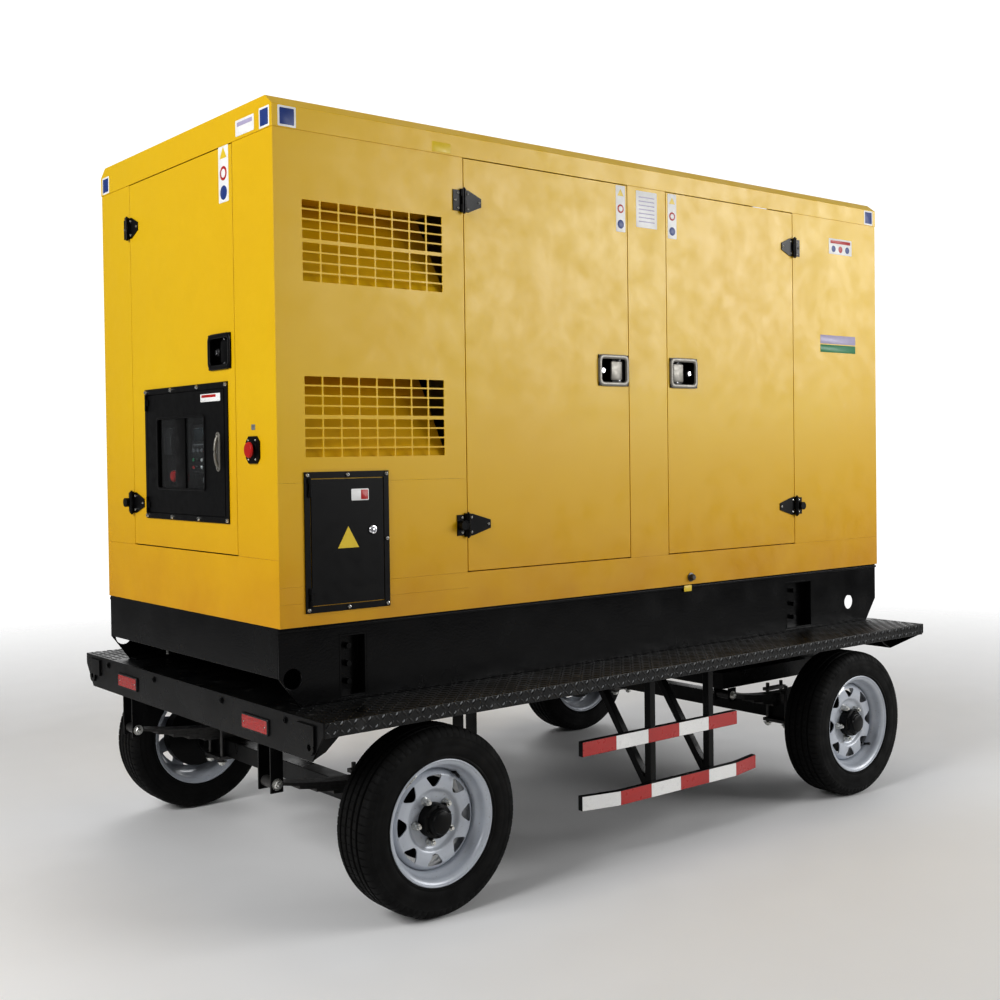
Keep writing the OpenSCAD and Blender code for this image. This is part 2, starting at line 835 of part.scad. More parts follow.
module hinge_leaves() {
  color(black) at_body() {
    for (s = [0, 1])
      mirror([0, s, 0])
        for (e = [0, 1])
          for (i = [0, 1])
            on_near(near_pin_x[e], e) translate([0, 0, side_hinge_z[i]]) fixed_leaf(i == 0);
    for (i = [0, 1])
      on_rear(rear_pin_y) translate([0, 0, rear_hinge_z[i]]) fixed_leaf(i == 0);
  }
}

// Recessed pan of a paddle latch: u' runs towards the door's free edge, v outwards
module latch_pan() {
  w = latch_w - 14;
  h = latch_h - 14;
  difference() {
    union() {
      translate([-latch_w / 2, 0, -latch_h / 2]) cube([latch_w, 4, latch_h]);
      translate([-w / 2, -latch_depth, -h / 2]) cube([w, latch_depth + 1, h]);
    }
    translate([-w / 2 + latch_wall, -latch_depth + latch_wall, -h / 2 + latch_wall])
      cube([w - 2 * latch_wall, latch_depth + 10, h - 2 * latch_wall]);
    translate([w / 2 - 12, -6, -h]) cylinder(r = latch_pin_r + pin_fit, h = 2 * h);
  }
}

module latch_paddle() {
  w = latch_w - 14;
  h = latch_h - 14;
  grip_h = h - 2 * latch_wall - 8;
  pin = w / 2 - 12;
  translate([pin - 78, -9, -grip_h / 2]) cube([80, 5, grip_h]);
  translate([pin - 78, -9, -grip_h / 2]) cube([5, 11, grip_h]);
  translate([pin, -6, -h / 2 - 3]) cylinder(r = latch_pin_r, h = h + 6);
}

// ---------------------------------------------------------------- doors

// A shallow pan with a cut-out for its latch, drawn as u along and w up, v outwards
module door_pan(width, low, top, latch_u, latch_w_at, window) {
  edge = 2.5;
  difference() {
    translate([door_from_pin, -door_depth, low]) cube([width, door_depth, top - low]);
    translate([door_from_pin + edge, -door_depth - 1, low + edge])
      cube([width - 2 * edge, door_depth + 1 - edge, top - low - 2 * edge]);
    translate([latch_u - latch_w / 2 + 6, -door_depth - 2, latch_w_at - latch_h / 2 + 6])
      cube([latch_w - 12, door_depth + 4, latch_h - 12]);
    if (window)
      translate([rear_pin_y - window_y[1] + 34, -door_depth - 2, window_z[0] + 40])
        cube([window_y[1] - window_y[0] - 68, door_depth + 4, window_z[1] - window_z[0] - 80]);
  }
}

module side_door(e) {
  x = e == 0 ? door1_x : door2_x;
  on_near(near_pin_x[e], e)
    door_pan(x[1] - x[0], side_door_z, side_door_top, abs(side_latch_x[e] - near_pin_x[e]),
             side_latch_z, false);
}

module side_fittings(e) {
  on_near(near_pin_x[e], e) {
    for (i = [0, 1]) translate([0, 0, side_hinge_z[i]]) moving_leaf(strap_l + 22 * (1 - i));
    translate([abs(side_latch_x[e] - near_pin_x[e]), 0, side_latch_z]) latch_pan();
  }
}

module side_paddle(e) {
  on_near(near_pin_x[e], e)
    translate([abs(side_latch_x[e] - near_pin_x[e]), 0, side_latch_z]) latch_paddle();
}

module near_rear_door() { color(yellow) at_body() side_door(0); }
module near_rear_door_fittings() { color(black) at_body() side_fittings(0); }
module near_rear_paddle() { color(steel) at_body() side_paddle(0); }
module near_front_door() { color(yellow) at_body() side_door(1); }
module near_front_door_fittings() { color(black) at_body() side_fittings(1); }
module near_front_paddle() { color(steel) at_body() side_paddle(1); }
module far_rear_door() { color(yellow) at_body() mirror([0, 1, 0]) side_door(0); }
module far_rear_door_fittings() { color(black) at_body() mirror([0, 1, 0]) side_fittings(0); }
module far_rear_paddle() { color(steel) at_body() mirror([0, 1, 0]) side_paddle(0); }
module far_front_door() { color(yellow) at_body() mirror([0, 1, 0]) side_door(1); }
module far_front_door_fittings() { color(black) at_body() mirror([0, 1, 0]) side_fittings(1); }
module far_front_paddle() { color(steel) at_body() mirror([0, 1, 0]) side_paddle(1); }

module rear_door() {
  color(yellow) at_body() on_rear(rear_pin_y)
    door_pan(rear_door_y[1] - rear_door_y[0], rear_door_z, rear_door_top,
             rear_pin_y - rear_latch_y, rear_latch_z, true);
}

module rear_door_fittings() {
  color(black) at_body() on_rear(rear_pin_y) {
    for (i = [0, 1]) translate([0, 0, rear_hinge_z[i]]) moving_leaf(strap_l + 14 * (1 - i));
    translate([rear_pin_y - rear_latch_y, 0, rear_latch_z]) latch_pan();
  }
}

module rear_paddle() {
  color(black) at_body() on_rear(rear_pin_y)
    translate([rear_pin_y - rear_latch_y, 0, rear_latch_z]) latch_paddle();
}

// ---------------------------------------------------------------- small hinged covers

ring_w = 18;
cover_lift = 0.3;
cover_gap = 3;
cover_t = 4.5;
frame_t = 4;
cover_pin_out = 8;
cover_knuckle_r = 3.5;
cover_pin_r = 1.8;

// Frame ring of a small cover: u along from its hinge edge, w up, both from its lower corner
module cover_frame(w, h) {
  difference() {
    cube([w, frame_t, h]);
    translate([ring_w, -1, ring_w]) cube([w - 2 * ring_w, frame_t + 2, h - 2 * ring_w]);
  }
  for (z = [ring_w + 26, h - ring_w - 26])
    for (s = [-1, 1])
      translate([ring_w - 2, cover_pin_out, z + s * 18 - 8]) {
        cylinder(r = cover_knuckle_r, h = 16);
        translate([-6, frame_t - cover_pin_out - 0.1, 0])
          cube([6, cover_pin_out - frame_t + 0.1, 16]);
      }
  for (z = [ring_w + 26, h - ring_w - 26])
    translate([ring_w - 2, cover_pin_out, z - 28]) cylinder(r = cover_pin_r, h = 56);
}

module cover_leaf(w, h) {
  difference() {
    union() {
      translate([ring_w + cover_gap, cover_lift, ring_w + cover_gap])
        cube([w - 2 * ring_w - 2 * cover_gap, cover_t - cover_lift, h - 2 * ring_w - 2 * cover_gap]);
      for (z = [ring_w + 26, h - ring_w - 26]) {
        translate([ring_w - 2, cover_pin_out, z - 9.5]) cylinder(r = cover_knuckle_r, h = 19);
        translate([ring_w - 2, frame_t + 0.35, z - 9.5]) cube([16, cover_pin_out - frame_t - 0.35, 19]);
      }
    }
    for (z = [ring_w + 26, h - ring_w - 26])
      translate([ring_w - 2, cover_pin_out, z - 12])
        cylinder(r = cover_pin_r + pin_fit, h = 24);
  }
}

window_w = window_y[1] - window_y[0];
window_h = window_z[1] - window_z[0];
pane_y = [-164, 166];
pane_z = [1220, 1442];

// Places a cover on the rear door: u runs from the frame's hinge edge towards the near side
module at_window() {
  translate([0, 0, window_z[0]]) on_rear(window_y[1]) children();
}

module window_frame() {
  color(black) at_body() at_window() cover_frame(window_w, window_h);
}

module window_door() {
  color(black) at_body() at_window() difference() {
    cover_leaf(window_w, window_h);
    translate([window_y[1] - pane_y[1], -1, pane_z[0] - window_z[0]])
      cube([pane_y[1] - pane_y[0], cover_t + 2, pane_z[1] - pane_z[0]]);
  }
}

module window_glass() {
  color("#8fa3ad", 0.4) at_body() at_window()
    translate([window_y[1] - pane_y[1] - 10, -4, pane_z[0] - window_z[0] - 10])
      cube([pane_y[1] - pane_y[0] + 20, 4, pane_z[1] - pane_z[0] + 20]);
}

module at_terminal() {
  translate([0, 0, terminal_z[0]]) on_near(terminal_x[0], 0) children();
}

module terminal_frame() {
  w = terminal_x[1] - terminal_x[0];
  h = terminal_z[1] - terminal_z[0];
  box_d = 160;
  side = 26;
  end = 32;
  wall = 3;
  color(black) at_body() at_terminal() {
    cover_frame(w, h);
    // the box behind it
    difference() {
      translate([side, -box_d, end]) cube([w - 2 * side, box_d - seam, h - 2 * end]);
      translate([side + wall, -box_d + wall, end + wall])
        cube([w - 2 * (side + wall), box_d + 1, h - 2 * (end + wall)]);
    }
  }
}

module terminal_door() {
  w = terminal_x[1] - terminal_x[0];
  h = terminal_z[1] - terminal_z[0];
  color(black) at_body() at_terminal() cover_leaf(w, h);
}

estop_plate_t = 5;
estop_collar = 6;
estop_stem_r = 9.2;
estop_travel = 6;

module at_estop() {
  translate([-half_l, estop_y, estop_z]) rotate([0, -90, 0]) children();
}

module estop_plate() {
  size = 39;
  cut = 16;
  color(black) at_body() at_estop() difference() {
    union() {
      linear_extrude(estop_plate_t) polygon([
        [-size, -size + cut], [-size + cut, -size], [size - cut, -size], [size, -size + cut],
        [size, size - cut], [size - cut, size], [-size + cut, size], [-size, size - cut]
      ]);
      cylinder(r = 24, h = estop_collar);
    }
    translate([0, 0, -1]) cylinder(r = estop_stem_r + pin_fit, h = 20);
  }
}

module estop_button() {
  cap_low = estop_collar + estop_travel + 0.5;
  cap_h = 8.5;
  color(red) at_body() at_estop() {
    translate([0, 0, -20]) cylinder(r = estop_stem_r, h = 20 + cap_low + 1);
    translate([0, 0, cap_low]) cylinder(r = 21, h = cap_h);
  }
}

// ---------------------------------------------------------------- generator set

engine_x = [-150, 760];
crank_z = 1080;
fan_x = 880;
fan_z = 1240;
fan_shaft_r = 14;
fan_fit = 0.08;
fan_r = 290;
blade_count = 7;

module engine() {
  block_half = 190;
  color("#3f4a45") at_body() {
    span([engine_x[0], -block_half, canopy_z + 110], [engine_x[1], block_half, 1300]);
    span([engine_x[0] + 20, -150, 1300], [engine_x[1] - 20, 150, 1400]);
    span([engine_x[0] + 60, -170, canopy_z + 24], [engine_x[1] - 100, 170, canopy_z + 110]);
    // rocker covers, two filters and the mounting feet
    for (i = [0:2])
      span([engine_x[0] + 60 + i * 265, -90, 1400], [engine_x[0] + 290 + i * 265, 90, 1456]);
    for (x = [120, 250])
      translate([x, -block_half - 52, 1010]) cylinder(r = 50, h = 170);
    for (x = [120, 250])
      span([x - 40, -block_half - 70, 1180], [x + 40, -block_half, 1215]);
    for (x = [engine_x[0] + 60, engine_x[1] - 60])
      for (s = [-1, 1])
        span([x - 45, s * 260 - 75, canopy_z + 60], [x + 45, s * 260 + 75, canopy_z + 85]);
    for (x = [engine_x[0] + 60, engine_x[1] - 60])
      for (s = [-1, 1])
        translate([x, s * 300, canopy_z]) cylinder(r = 34, h = 60);
    // the fan's fixed shaft and the crank pulley
    translate([engine_x[1], 0, fan_z]) rotate([0, 90, 0]) cylinder(r = fan_shaft_r, h = 165);
    translate([engine_x[1], 0, crank_z]) rotate([0, 90, 0]) cylinder(r = 85, h = 60);
  }
}

module fan() {
  color("#26292b") at_body() translate([fan_x, 0, fan_z]) rotate([0, 90, 0]) {
    difference() {
      union() {
        translate([0, 0, -60]) cylinder(r = 60, h = 90);
        for (i = [0:blade_count - 1])
          rotate([0, 0, i * 360 / blade_count]) translate([50, 0, 0]) rotate([35, 0, 0])
            translate([0, -45, -2]) cube([fan_r - 50, 90, 4]);
      }
      translate([0, 0, -61]) cylinder(r = fan_shaft_r + fan_fit, h = 92);
    }
  }
}

module radiator() {
  core_x = [960, 1060];
  color("#2b2d2e") at_body() {
    difference() {
      span([core_x[0], -480, canopy_z], [core_x[1], 480, 1760]);
      span([core_x[0] - 1, -400, canopy_z + 120], [core_x[1] + 1, 400, 1640]);
    }
    span([core_x[0] + 20, -400, canopy_z + 120], [core_x[1] - 20, 400, 1640]);
    // duct from the core to the front grille
    for (s = [-1, 1])
      span([core_x[1], s * 480 - 2, canopy_z + 200], [half_l - 10, s * 480 + 2, 2020]);
  }
}

module alternator() {
  color("#8b9094") at_body() {
    translate([engine_x[0] - 60, 0, crank_z]) rotate([0, -90, 0]) cylinder(r = 225, h = 560);
    translate([engine_x[0], 0, crank_z]) rotate([0, -90, 0]) cylinder(r = 240, h = 60);
    span([engine_x[0] - 520, -170, crank_z + 200], [engine_x[0] - 140, 170, crank_z + 370]);
    for (s = [-1, 1])
      span([engine_x[0] - 500, s * 220 - 60, canopy_z], [engine_x[0] - 200, s * 220 + 60, crank_z - 120]);
  }
}

module exhaust() {
  stack_x = 1060;
  stack_y = -250;
  silencer_z = 1860;
  color("#5b5450") at_body() {
    translate([60, stack_y, silencer_z]) rotate([0, 90, 0]) cylinder(r = 120, h = 850);
    translate([910, stack_y, silencer_z]) rotate([0, 90, 0]) cylinder(r = 40, h = stack_x - 910);
    translate([stack_x, stack_y, silencer_z]) sphere(r = 40);
    translate([stack_x, stack_y, silencer_z]) cylinder(r = 40, h = roof_z - silencer_z - 12);
    // branch from the cylinder head
    translate([200, stack_y, 1360]) cylinder(r = 34, h = silencer_z - 1360);
    span([160, stack_y - 40, 1320], [240, -150, 1390]);
  }
}

module battery() {
  color("#2a2c30") at_body() {
    span([-1180, 300, canopy_z], [-920, 480, canopy_z + 215]);
    for (y = [340, 440]) translate([-1140, y, canopy_z + 215]) cylinder(r = 10, h = 18);
  }
}

module control_cabinet() {
  face_x = -half_l + door_depth + 8;
  color("#202224") at_body() difference() {
    span([face_x, window_y[0] + 20, window_z[0] + 20],
         [face_x + 230, window_y[1] - 20, window_z[1] - 20]);
    span([face_x + 3, window_y[0] + 23, window_z[0] + 23],
         [face_x + 231, window_y[1] - 23, window_z[1] - 23]);
  }
}

// ---------------------------------------------------------------- wheels

crown = 3;

// Half section of a tyre as radius against distance from its mid plane
module tyre_section() {
  h = tyre_w / 2;
  wall = 12;
  groove_w = 7;
  groove_d = 7;
  difference() {
    polygon([
      [seat_r + 0.4, -rim_h + 12.6], [flange_r - 7.6, -rim_h + 8.6], [flange_r + 0.4, -rim_h + 3.4],
      [flange_r + 8, -h + 3], [seat_r + 52, -h],
      [tyre_r - 30, -h + 3], [tyre_r - 14, -h + 9], [tyre_r - crown, -h + 22], [tyre_r, -h + 44],
      [tyre_r, h - 44], [tyre_r - crown, h - 22], [tyre_r - 14, h - 9], [tyre_r - 30, h - 3],
      [seat_r + 52, h], [flange_r + 8, h - 3], [flange_r + 0.4, rim_h - 3.4],
      [flange_r - 7.6, rim_h - 8.6], [seat_r + 0.4, rim_h - 12.6],
      [seat_r + 0.4, h - 34], [seat_r + 30, h - wall], [tyre_r - 34, h - wall],
      [tyre_r - 20, h - 30], [tyre_r - 17, 0], [tyre_r - 20, -h + 30],
      [tyre_r - 34, -h + wall], [seat_r + 30, -h + wall], [seat_r + 0.4, -h + 34]
    ]);
    for (g = [-40, -14, 14, 40])
      translate([tyre_r - groove_d, g - groove_w / 2]) square([groove_d + 2, groove_w]);
  }
}

// Rim, drawn in the same way: outer flange at +, with the drop well between
module rim_section() {
  h = rim_h;
  t = 4;
  polygon([
    [flange_r, h], [flange_r, h - 3], [flange_r - 8, h - 8], [seat_r, h - 12],
    [seat_r - 2, h - 34], [drop_r, h - 52], [drop_r, h - 82], [seat_r - 2, -h + 34],
    [seat_r, -h + 12], [flange_r - 8, -h + 8], [flange_r, -h + 3], [flange_r, -h],
    [flange_r - 6, -h], [flange_r - 12, -h + 5], [seat_r - t, -h + 10],
    [seat_r - t - 2, -h + 33], [drop_r - t, h - 83], [drop_r - t, h - 51],
    [seat_r - t - 2, h - 33], [seat_r - t, h - 10], [flange_r - 12, h - 5], [flange_r - 6, h]
  ]);
}

module wheel_disc_section() {
  h = disc_y - (track_half - tyre_w / 2);
  polygon([
    [hub_r - 6, h - 4], [hub_r - 6, h - 4 + disc_t], [nut_circle_r + 16, h - 4 + disc_t],
    [nut_circle_r + 30, h + 8 + disc_t], [drop_r - 24, h + 12 + disc_t],
    [drop_r - 4, h - 2 + disc_t], [drop_r - 4, h - 2], [drop_r - 26, h + 12],
    [nut_circle_r + 32, h + 8], [nut_circle_r + 18, h - 4]
  ]);
}

// A wheel's parts are drawn with their outer face towards +Z and stood out to one side
module at_wheel(x, s) {
  translate([x, s * (track_half - tyre_w / 2), tyre_r]) rotate([s * -90, 0, 0]) children();
}

module tyre(x, s) {
  color(rubber) at_body() at_wheel(x, s) rotate_extrude($fn = 96) tyre_section();
}

module wheel(x, s) {
  mid = track_half - tyre_w / 2;
  face = disc_y - mid;
  color(white) at_body() at_wheel(x, s) {
    rotate_extrude($fn = 96) rim_section();
    difference() {
      rotate_extrude($fn = 96) wheel_disc_section();
      for (i = [0:slot_count - 1])
        rotate([0, 0, (i + 0.5) * 360 / slot_count]) translate([0, 0, face - 20])
          linear_extrude(60)
            polygon([[nut_circle_r + 36, -9], [drop_r - 14, -26], [drop_r - 14, 26],
                     [nut_circle_r + 36, 9]]);
    }
    // hub with its grease cap, and the nuts
    difference() {
      union() {
        translate([0, 0, face - 70]) cylinder(r = hub_r + 22, h = 65.5);
        translate([0, 0, face - 70]) cylinder(r = hub_r - 6.2, h = 116);
        translate([0, 0, face + 46]) cylinder(r = hub_r - 16, h = 9);
      }
      translate([0, 0, face - 71]) cylinder(r = spindle_r + spindle_fit, h = 112);
    }
    for (i = [0:nut_count - 1])
      rotate([0, 0, i * 360 / nut_count]) translate([nut_circle_r, 0, face - 6])
        cylinder(r = nut_r, h = 24, $fn = 6);
  }
}

module rear_near_tyre() { tyre(rear_axle_x, -1); }
module rear_near_wheel() { wheel(rear_axle_x, -1); }
module rear_far_tyre() { tyre(rear_axle_x, 1); }
module rear_far_wheel() { wheel(rear_axle_x, 1); }
module front_near_tyre() { tyre(front_axle_x, -1); }
module front_near_wheel() { wheel(front_axle_x, -1); }
module front_far_tyre() { tyre(front_axle_x, 1); }
module front_far_wheel() { wheel(front_axle_x, 1); }

deck_plate();
chassis_frame();
end_beams();
rear_reflectors();
guard_frames();
guard_rails();
rear_springs();
rear_hangers();
rear_axle();
turntable_ring();
base_skid();
base_brackets();
near_side_panel();
far_side_panel();
rear_panel();
front_panel();
roof();
hinge_leaves();
engine();
radiator();
fan();
alternator();
exhaust();
battery();
control_cabinet();
near_rear_door();
near_rear_door_fittings();
near_rear_paddle();
near_front_door();
near_front_door_fittings();
near_front_paddle();
far_rear_door();
far_rear_door_fittings();
far_rear_paddle();
far_front_door();
far_front_door_fittings();
far_front_paddle();
rear_door();
rear_door_fittings();
rear_paddle();
window_frame();
window_door();
window_glass();
terminal_frame();
terminal_door();
estop_plate();
estop_button();
bogie_frame();
front_springs();
front_axle();
drawbar();
tow_eye();
rear_near_tyre();
rear_near_wheel();
rear_far_tyre();
rear_far_wheel();
front_near_tyre();
front_near_wheel();
front_far_tyre();
front_far_wheel();
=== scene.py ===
import math

import bmesh
import bpy
from mathutils import Matrix, Vector


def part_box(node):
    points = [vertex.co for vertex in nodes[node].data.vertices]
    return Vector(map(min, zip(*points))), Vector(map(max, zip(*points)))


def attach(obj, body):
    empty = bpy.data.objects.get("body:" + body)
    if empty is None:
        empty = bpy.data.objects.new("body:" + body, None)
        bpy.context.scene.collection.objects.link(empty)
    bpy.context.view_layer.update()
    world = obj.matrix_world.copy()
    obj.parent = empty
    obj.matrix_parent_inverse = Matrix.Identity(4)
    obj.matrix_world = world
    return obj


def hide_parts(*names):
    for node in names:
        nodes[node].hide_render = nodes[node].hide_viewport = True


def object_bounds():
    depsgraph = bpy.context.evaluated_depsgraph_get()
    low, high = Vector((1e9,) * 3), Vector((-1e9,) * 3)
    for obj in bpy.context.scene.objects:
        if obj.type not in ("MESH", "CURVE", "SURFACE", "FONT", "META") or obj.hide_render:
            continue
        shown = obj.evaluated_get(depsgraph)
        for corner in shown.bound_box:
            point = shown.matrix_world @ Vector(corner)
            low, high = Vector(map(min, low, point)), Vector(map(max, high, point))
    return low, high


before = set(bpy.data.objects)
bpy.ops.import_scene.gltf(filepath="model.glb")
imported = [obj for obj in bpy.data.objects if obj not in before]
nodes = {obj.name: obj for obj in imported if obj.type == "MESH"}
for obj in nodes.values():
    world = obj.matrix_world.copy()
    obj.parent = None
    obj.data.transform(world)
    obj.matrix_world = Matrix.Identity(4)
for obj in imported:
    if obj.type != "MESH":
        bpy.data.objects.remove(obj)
cad_low, cad_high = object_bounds()

MM = 0.001
X, Y, Z = Vector((1, 0, 0)), Vector((0, 1, 0)), Vector((0, 0, 1))
CANOPY_X = (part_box("roof")[0].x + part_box("roof")[1].x) / 2
SIDES = {"near": -1, "far": 1}
STICKER = (-0.0002, 0.0006, 0.0002)  # a prism's foot, top and eased edge, in metres
PRINT = (0.0004, 0.0009, 0.0001)


# ---- materials

def paint(red, green, blue):
    """A colour in 0 to 255 steps as the linear colour that shaders take."""
    def linear(step):
        share = step / 255
        return share / 12.92 if share <= 0.04045 else ((share + 0.055) / 1.055) ** 2.4
    return (linear(red), linear(green), linear(blue), 1.0)


def darker(colour, share):
    return tuple(part * share for part in colour[:3]) + (1,)


class Finish:
    """A procedural material: patterns in object space that drive one Principled shader."""

    def __init__(self, name, colour, roughness, metallic=0.0, **extras):
        self.material = bpy.data.materials.new(name)
        self.material.use_nodes = True
        self.tree = self.material.node_tree
        self.shader = self.tree.nodes["Principled BSDF"]
        self.shader.inputs["Base Color"].default_value = colour
        self.shader.inputs["Roughness"].default_value = roughness
        self.shader.inputs["Metallic"].default_value = metallic
        for socket, value in extras.items():
            self.shader.inputs[socket.replace("_", " ")].default_value = value
        self.place = self.tree.nodes.new("ShaderNodeTexCoord").outputs["Object"]
        self.base = colour

    def link(self, source, target):
        self.tree.links.new(source, target)

    def noise(self, scale, detail, stretch=None):
        node = self.tree.nodes.new("ShaderNodeTexNoise")
        node.inputs["Scale"].default_value = scale
        node.inputs["Detail"].default_value = detail
        source = self.place
        if stretch:
            mapping = self.tree.nodes.new("ShaderNodeMapping")
            mapping.inputs["Scale"].default_value = stretch
            self.link(source, mapping.inputs["Vector"])
            source = mapping.outputs["Vector"]
        self.link(source, node.inputs["Vector"])
        return node.outputs["Fac"]

    def cells(self, scale, feature="F1"):
        node = self.tree.nodes.new("ShaderNodeTexVoronoi")
        node.feature = feature
        node.inputs["Scale"].default_value = scale
        self.link(self.place, node.inputs["Vector"])
        return node.outputs["Distance"]

    def axis(self, name):
        node = self.tree.nodes.new("ShaderNodeSeparateXYZ")
        self.link(self.place, node.inputs["Vector"])
        return node.outputs[name]

    def upward(self):
        """How far the surface faces up, from -1 to 1."""
        geometry = self.tree.nodes.new("ShaderNodeNewGeometry")
        node = self.tree.nodes.new("ShaderNodeSeparateXYZ")
        self.link(geometry.outputs["Normal"], node.inputs["Vector"])
        return node.outputs["Z"]

    def level(self, source, low, high, to_low=0.0, to_high=1.0):
        node = self.tree.nodes.new("ShaderNodeMapRange")
        for socket, value in zip(("From Min", "From Max", "To Min", "To Max"),
                                 (low, high, to_low, to_high)):
            node.inputs[socket].default_value = value
        self.link(source, node.inputs["Value"])
        return node.outputs["Result"]

    def times(self, a, b):
        node = self.tree.nodes.new("ShaderNodeMath")
        node.operation = "MULTIPLY"
        self.link(a, node.inputs[0])
        self.link(b, node.inputs[1])
        return node.outputs["Value"]

    def tint(self, share, colour):
        """Mixes a colour over what the base colour is so far."""
        node = self.tree.nodes.new("ShaderNodeMix")
        node.data_type = "RGBA"
        target = self.shader.inputs["Base Color"]
        if target.is_linked:
            self.link(target.links[0].from_socket, node.inputs["A"])
        else:
            node.inputs["A"].default_value = self.base
        node.inputs["B"].default_value = colour
        self.link(share, node.inputs["Factor"])
        self.link(node.outputs["Result"], target)

    def patches(self, scale, detail, low, high, share, colour):
        """Tints where a noise pattern is high."""
        self.tint(self.level(self.noise(scale, detail), low, high, 0, share), colour)

    def wear(self, scale, detail, smooth, rough, low=0.3, high=0.7):
        """Varies the roughness by a noise pattern."""
        self.link(self.level(self.noise(scale, detail), low, high, smooth, rough),
                  self.shader.inputs["Roughness"])

    def grain(self, scale, detail, distance, strength):
        self.bump(self.noise(scale, detail), distance, strength)

    def bump(self, height, distance, strength):
        node = self.tree.nodes.new("ShaderNodeBump")
        node.inputs["Strength"].default_value = strength
        node.inputs["Distance"].default_value = distance
        target = self.shader.inputs["Normal"]
        if target.is_linked:
            self.link(target.links[0].from_socket, node.inputs["Normal"])
        self.link(height, node.inputs["Height"])
        self.link(node.outputs["Normal"], target)


def canopy_coat():
    f = Finish("canopy_coat", paint(224, 184, 6), 0.38, Specular_IOR_Level=0.5)
    f.patches(1.3, 3, 0.35, 0.7, 1, paint(221, 178, 6))
    f.patches(60, 4, 0.55, 0.8, 0.12, paint(236, 192, 40))
    # Painted shade: the paint turns a deeper orange towards the bottom, in a smooth band below 1.5 m and in
    # patches below 1.1 m.
    f.tint(f.level(f.axis("Z"), 1.5, 0.8, 0, 0.7), paint(206, 146, 2))
    low_shade_patches = f.times(f.level(f.axis("Z"), 1.1, 0.83), f.level(f.noise(5, 5), 0.35, 0.7))
    f.tint(f.level(low_shade_patches, 0, 1, 0, 0.5), paint(190, 130, 8))
    f.wear(14, 4, 0.3, 0.44)
    f.grain(260, 2, 0.0004, 0.5)
    f.grain(2.2, 1, 0.0016, 0.25)
    return f.material


def gloss_black(name, roughness, dust):
    f = Finish(name, paint(8, 8, 9), roughness, Specular_IOR_Level=0.22)
    dusty = f.times(f.level(f.upward(), 0.3, 1.0), f.level(f.noise(9, 6), 0.3, 0.75))
    f.tint(f.level(dusty, 0, 1, 0, dust), paint(70, 67, 62))
    f.patches(38, 6, 0.62, 0.75, 0.25, paint(28, 27, 26))
    f.wear(7, 5, roughness, roughness + 0.22, 0.3, 0.75)
    f.grain(160, 2, 0.0005, 0.45)
    f.grain(6, 2, 0.003, 0.3)
    return f.material


def textured_black(name, tone):
    f = Finish(name, paint(tone, tone, tone + 1), 0.36, Specular_IOR_Level=0.22)
    f.patches(20, 5, 0.5, 0.8, 0.3, paint(tone + 10, tone + 10, tone + 11))
    f.wear(30, 3, 0.34, 0.5)
    f.grain(900, 1, 0.0002, 0.6)
    return f.material


def tread_paint():
    """Deck paint with lighter grey patches of noise, partly scuffs towards bare steel and partly painted
    highlights.
    """
    f = Finish("tread_paint", paint(10, 11, 12), 0.22, Specular_IOR_Level=0.4)
    # Painted highlights, partly real scuffs: lighter grey patches of noise over the dark paint.
    f.patches(24, 6, 0.6, 0.72, 0.5, paint(58, 58, 57))
    f.patches(3, 4, 0.5, 0.8, 0.2, paint(48, 45, 40))
    f.wear(12, 4, 0.22, 0.46)
    f.grain(300, 2, 0.0003, 0.5)
    return f.material


def rubber():
    f = Finish("tyre_rubber", paint(11, 11, 11), 0.6, Specular_IOR_Level=0.2)
    f.patches(5, 6, 0.5, 0.8, 0.3, paint(36, 34, 31))
    f.patches(60, 4, 0.5, 0.8, 0.3, paint(22, 22, 21))
    f.wear(18, 4, 0.6, 0.85)
    f.grain(420, 3, 0.0004, 0.6)
    return f.material


def rim_paint():
    f = Finish("rim_paint", paint(186, 191, 199), 0.34, 0.12, Coat_Weight=0.3, Coat_Roughness=0.2)
    f.patches(7, 5, 0.5, 0.8, 0.4, paint(134, 138, 144))
    f.patches(130, 3, 0.66, 0.74, 0.5, paint(120, 112, 98))
    f.wear(22, 4, 0.28, 0.46)
    f.grain(210, 2, 0.0004, 0.45)
    return f.material


def bare_metal(name, colour, roughness, scale=120):
    f = Finish(name, colour, roughness, 1.0)
    f.patches(scale, 4, 0.45, 0.8, 0.5, darker(colour, 0.6))
    f.wear(scale * 2, 3, roughness, roughness + 0.18)
    f.grain(scale * 6, 2, 0.0001, 0.5)
    return f.material


def satin_grey():
    f = Finish("satin_grey", paint(136, 133, 126), 0.38, 0.55)
    f.tint(f.level(f.noise(60, 5, (1, 1, 8)), 0.4, 0.8, 0, 0.4), paint(104, 101, 96))
    f.wear(90, 3, 0.32, 0.5)
    f.grain(700, 2, 0.0002, 0.6)
    return f.material


def tape(name, colour, deep):
    """Reflective sheeting: small cells under a clear face."""
    f = Finish(name, colour, 0.3, Coat_Weight=0.6, Coat_Roughness=0.08)
    f.tint(f.level(f.cells(330, "DISTANCE_TO_EDGE"), 0.0, 0.08, 0.5, 0.0), deep)
    f.patches(6, 5, 0.5, 0.8, 0.25, deep)
    f.wear(40, 3, 0.24, 0.42)
    f.bump(f.cells(330, "DISTANCE_TO_EDGE"), 0.0002, 0.5)
    return f.material


def moulded(name, colour, roughness):
    f = Finish(name, colour, roughness)
    f.patches(45, 4, 0.45, 0.8, 0.3, darker(colour, 0.7))
    f.wear(70, 3, roughness, roughness + 0.14)
    f.grain(800, 1, 0.0001, 0.5)
    return f.material


def reflector_lens():
    f = Finish("reflector_lens", paint(176, 10, 6), 0.2, Coat_Weight=0.4, Coat_Roughness=0.08)
    grid = f.cells(190)
    f.tint(f.level(grid, 0.2, 0.6, 0, 0.5), paint(112, 10, 8))
    f.wear(60, 3, 0.1, 0.26)
    f.bump(grid, 0.001, 0.8)
    return f.material


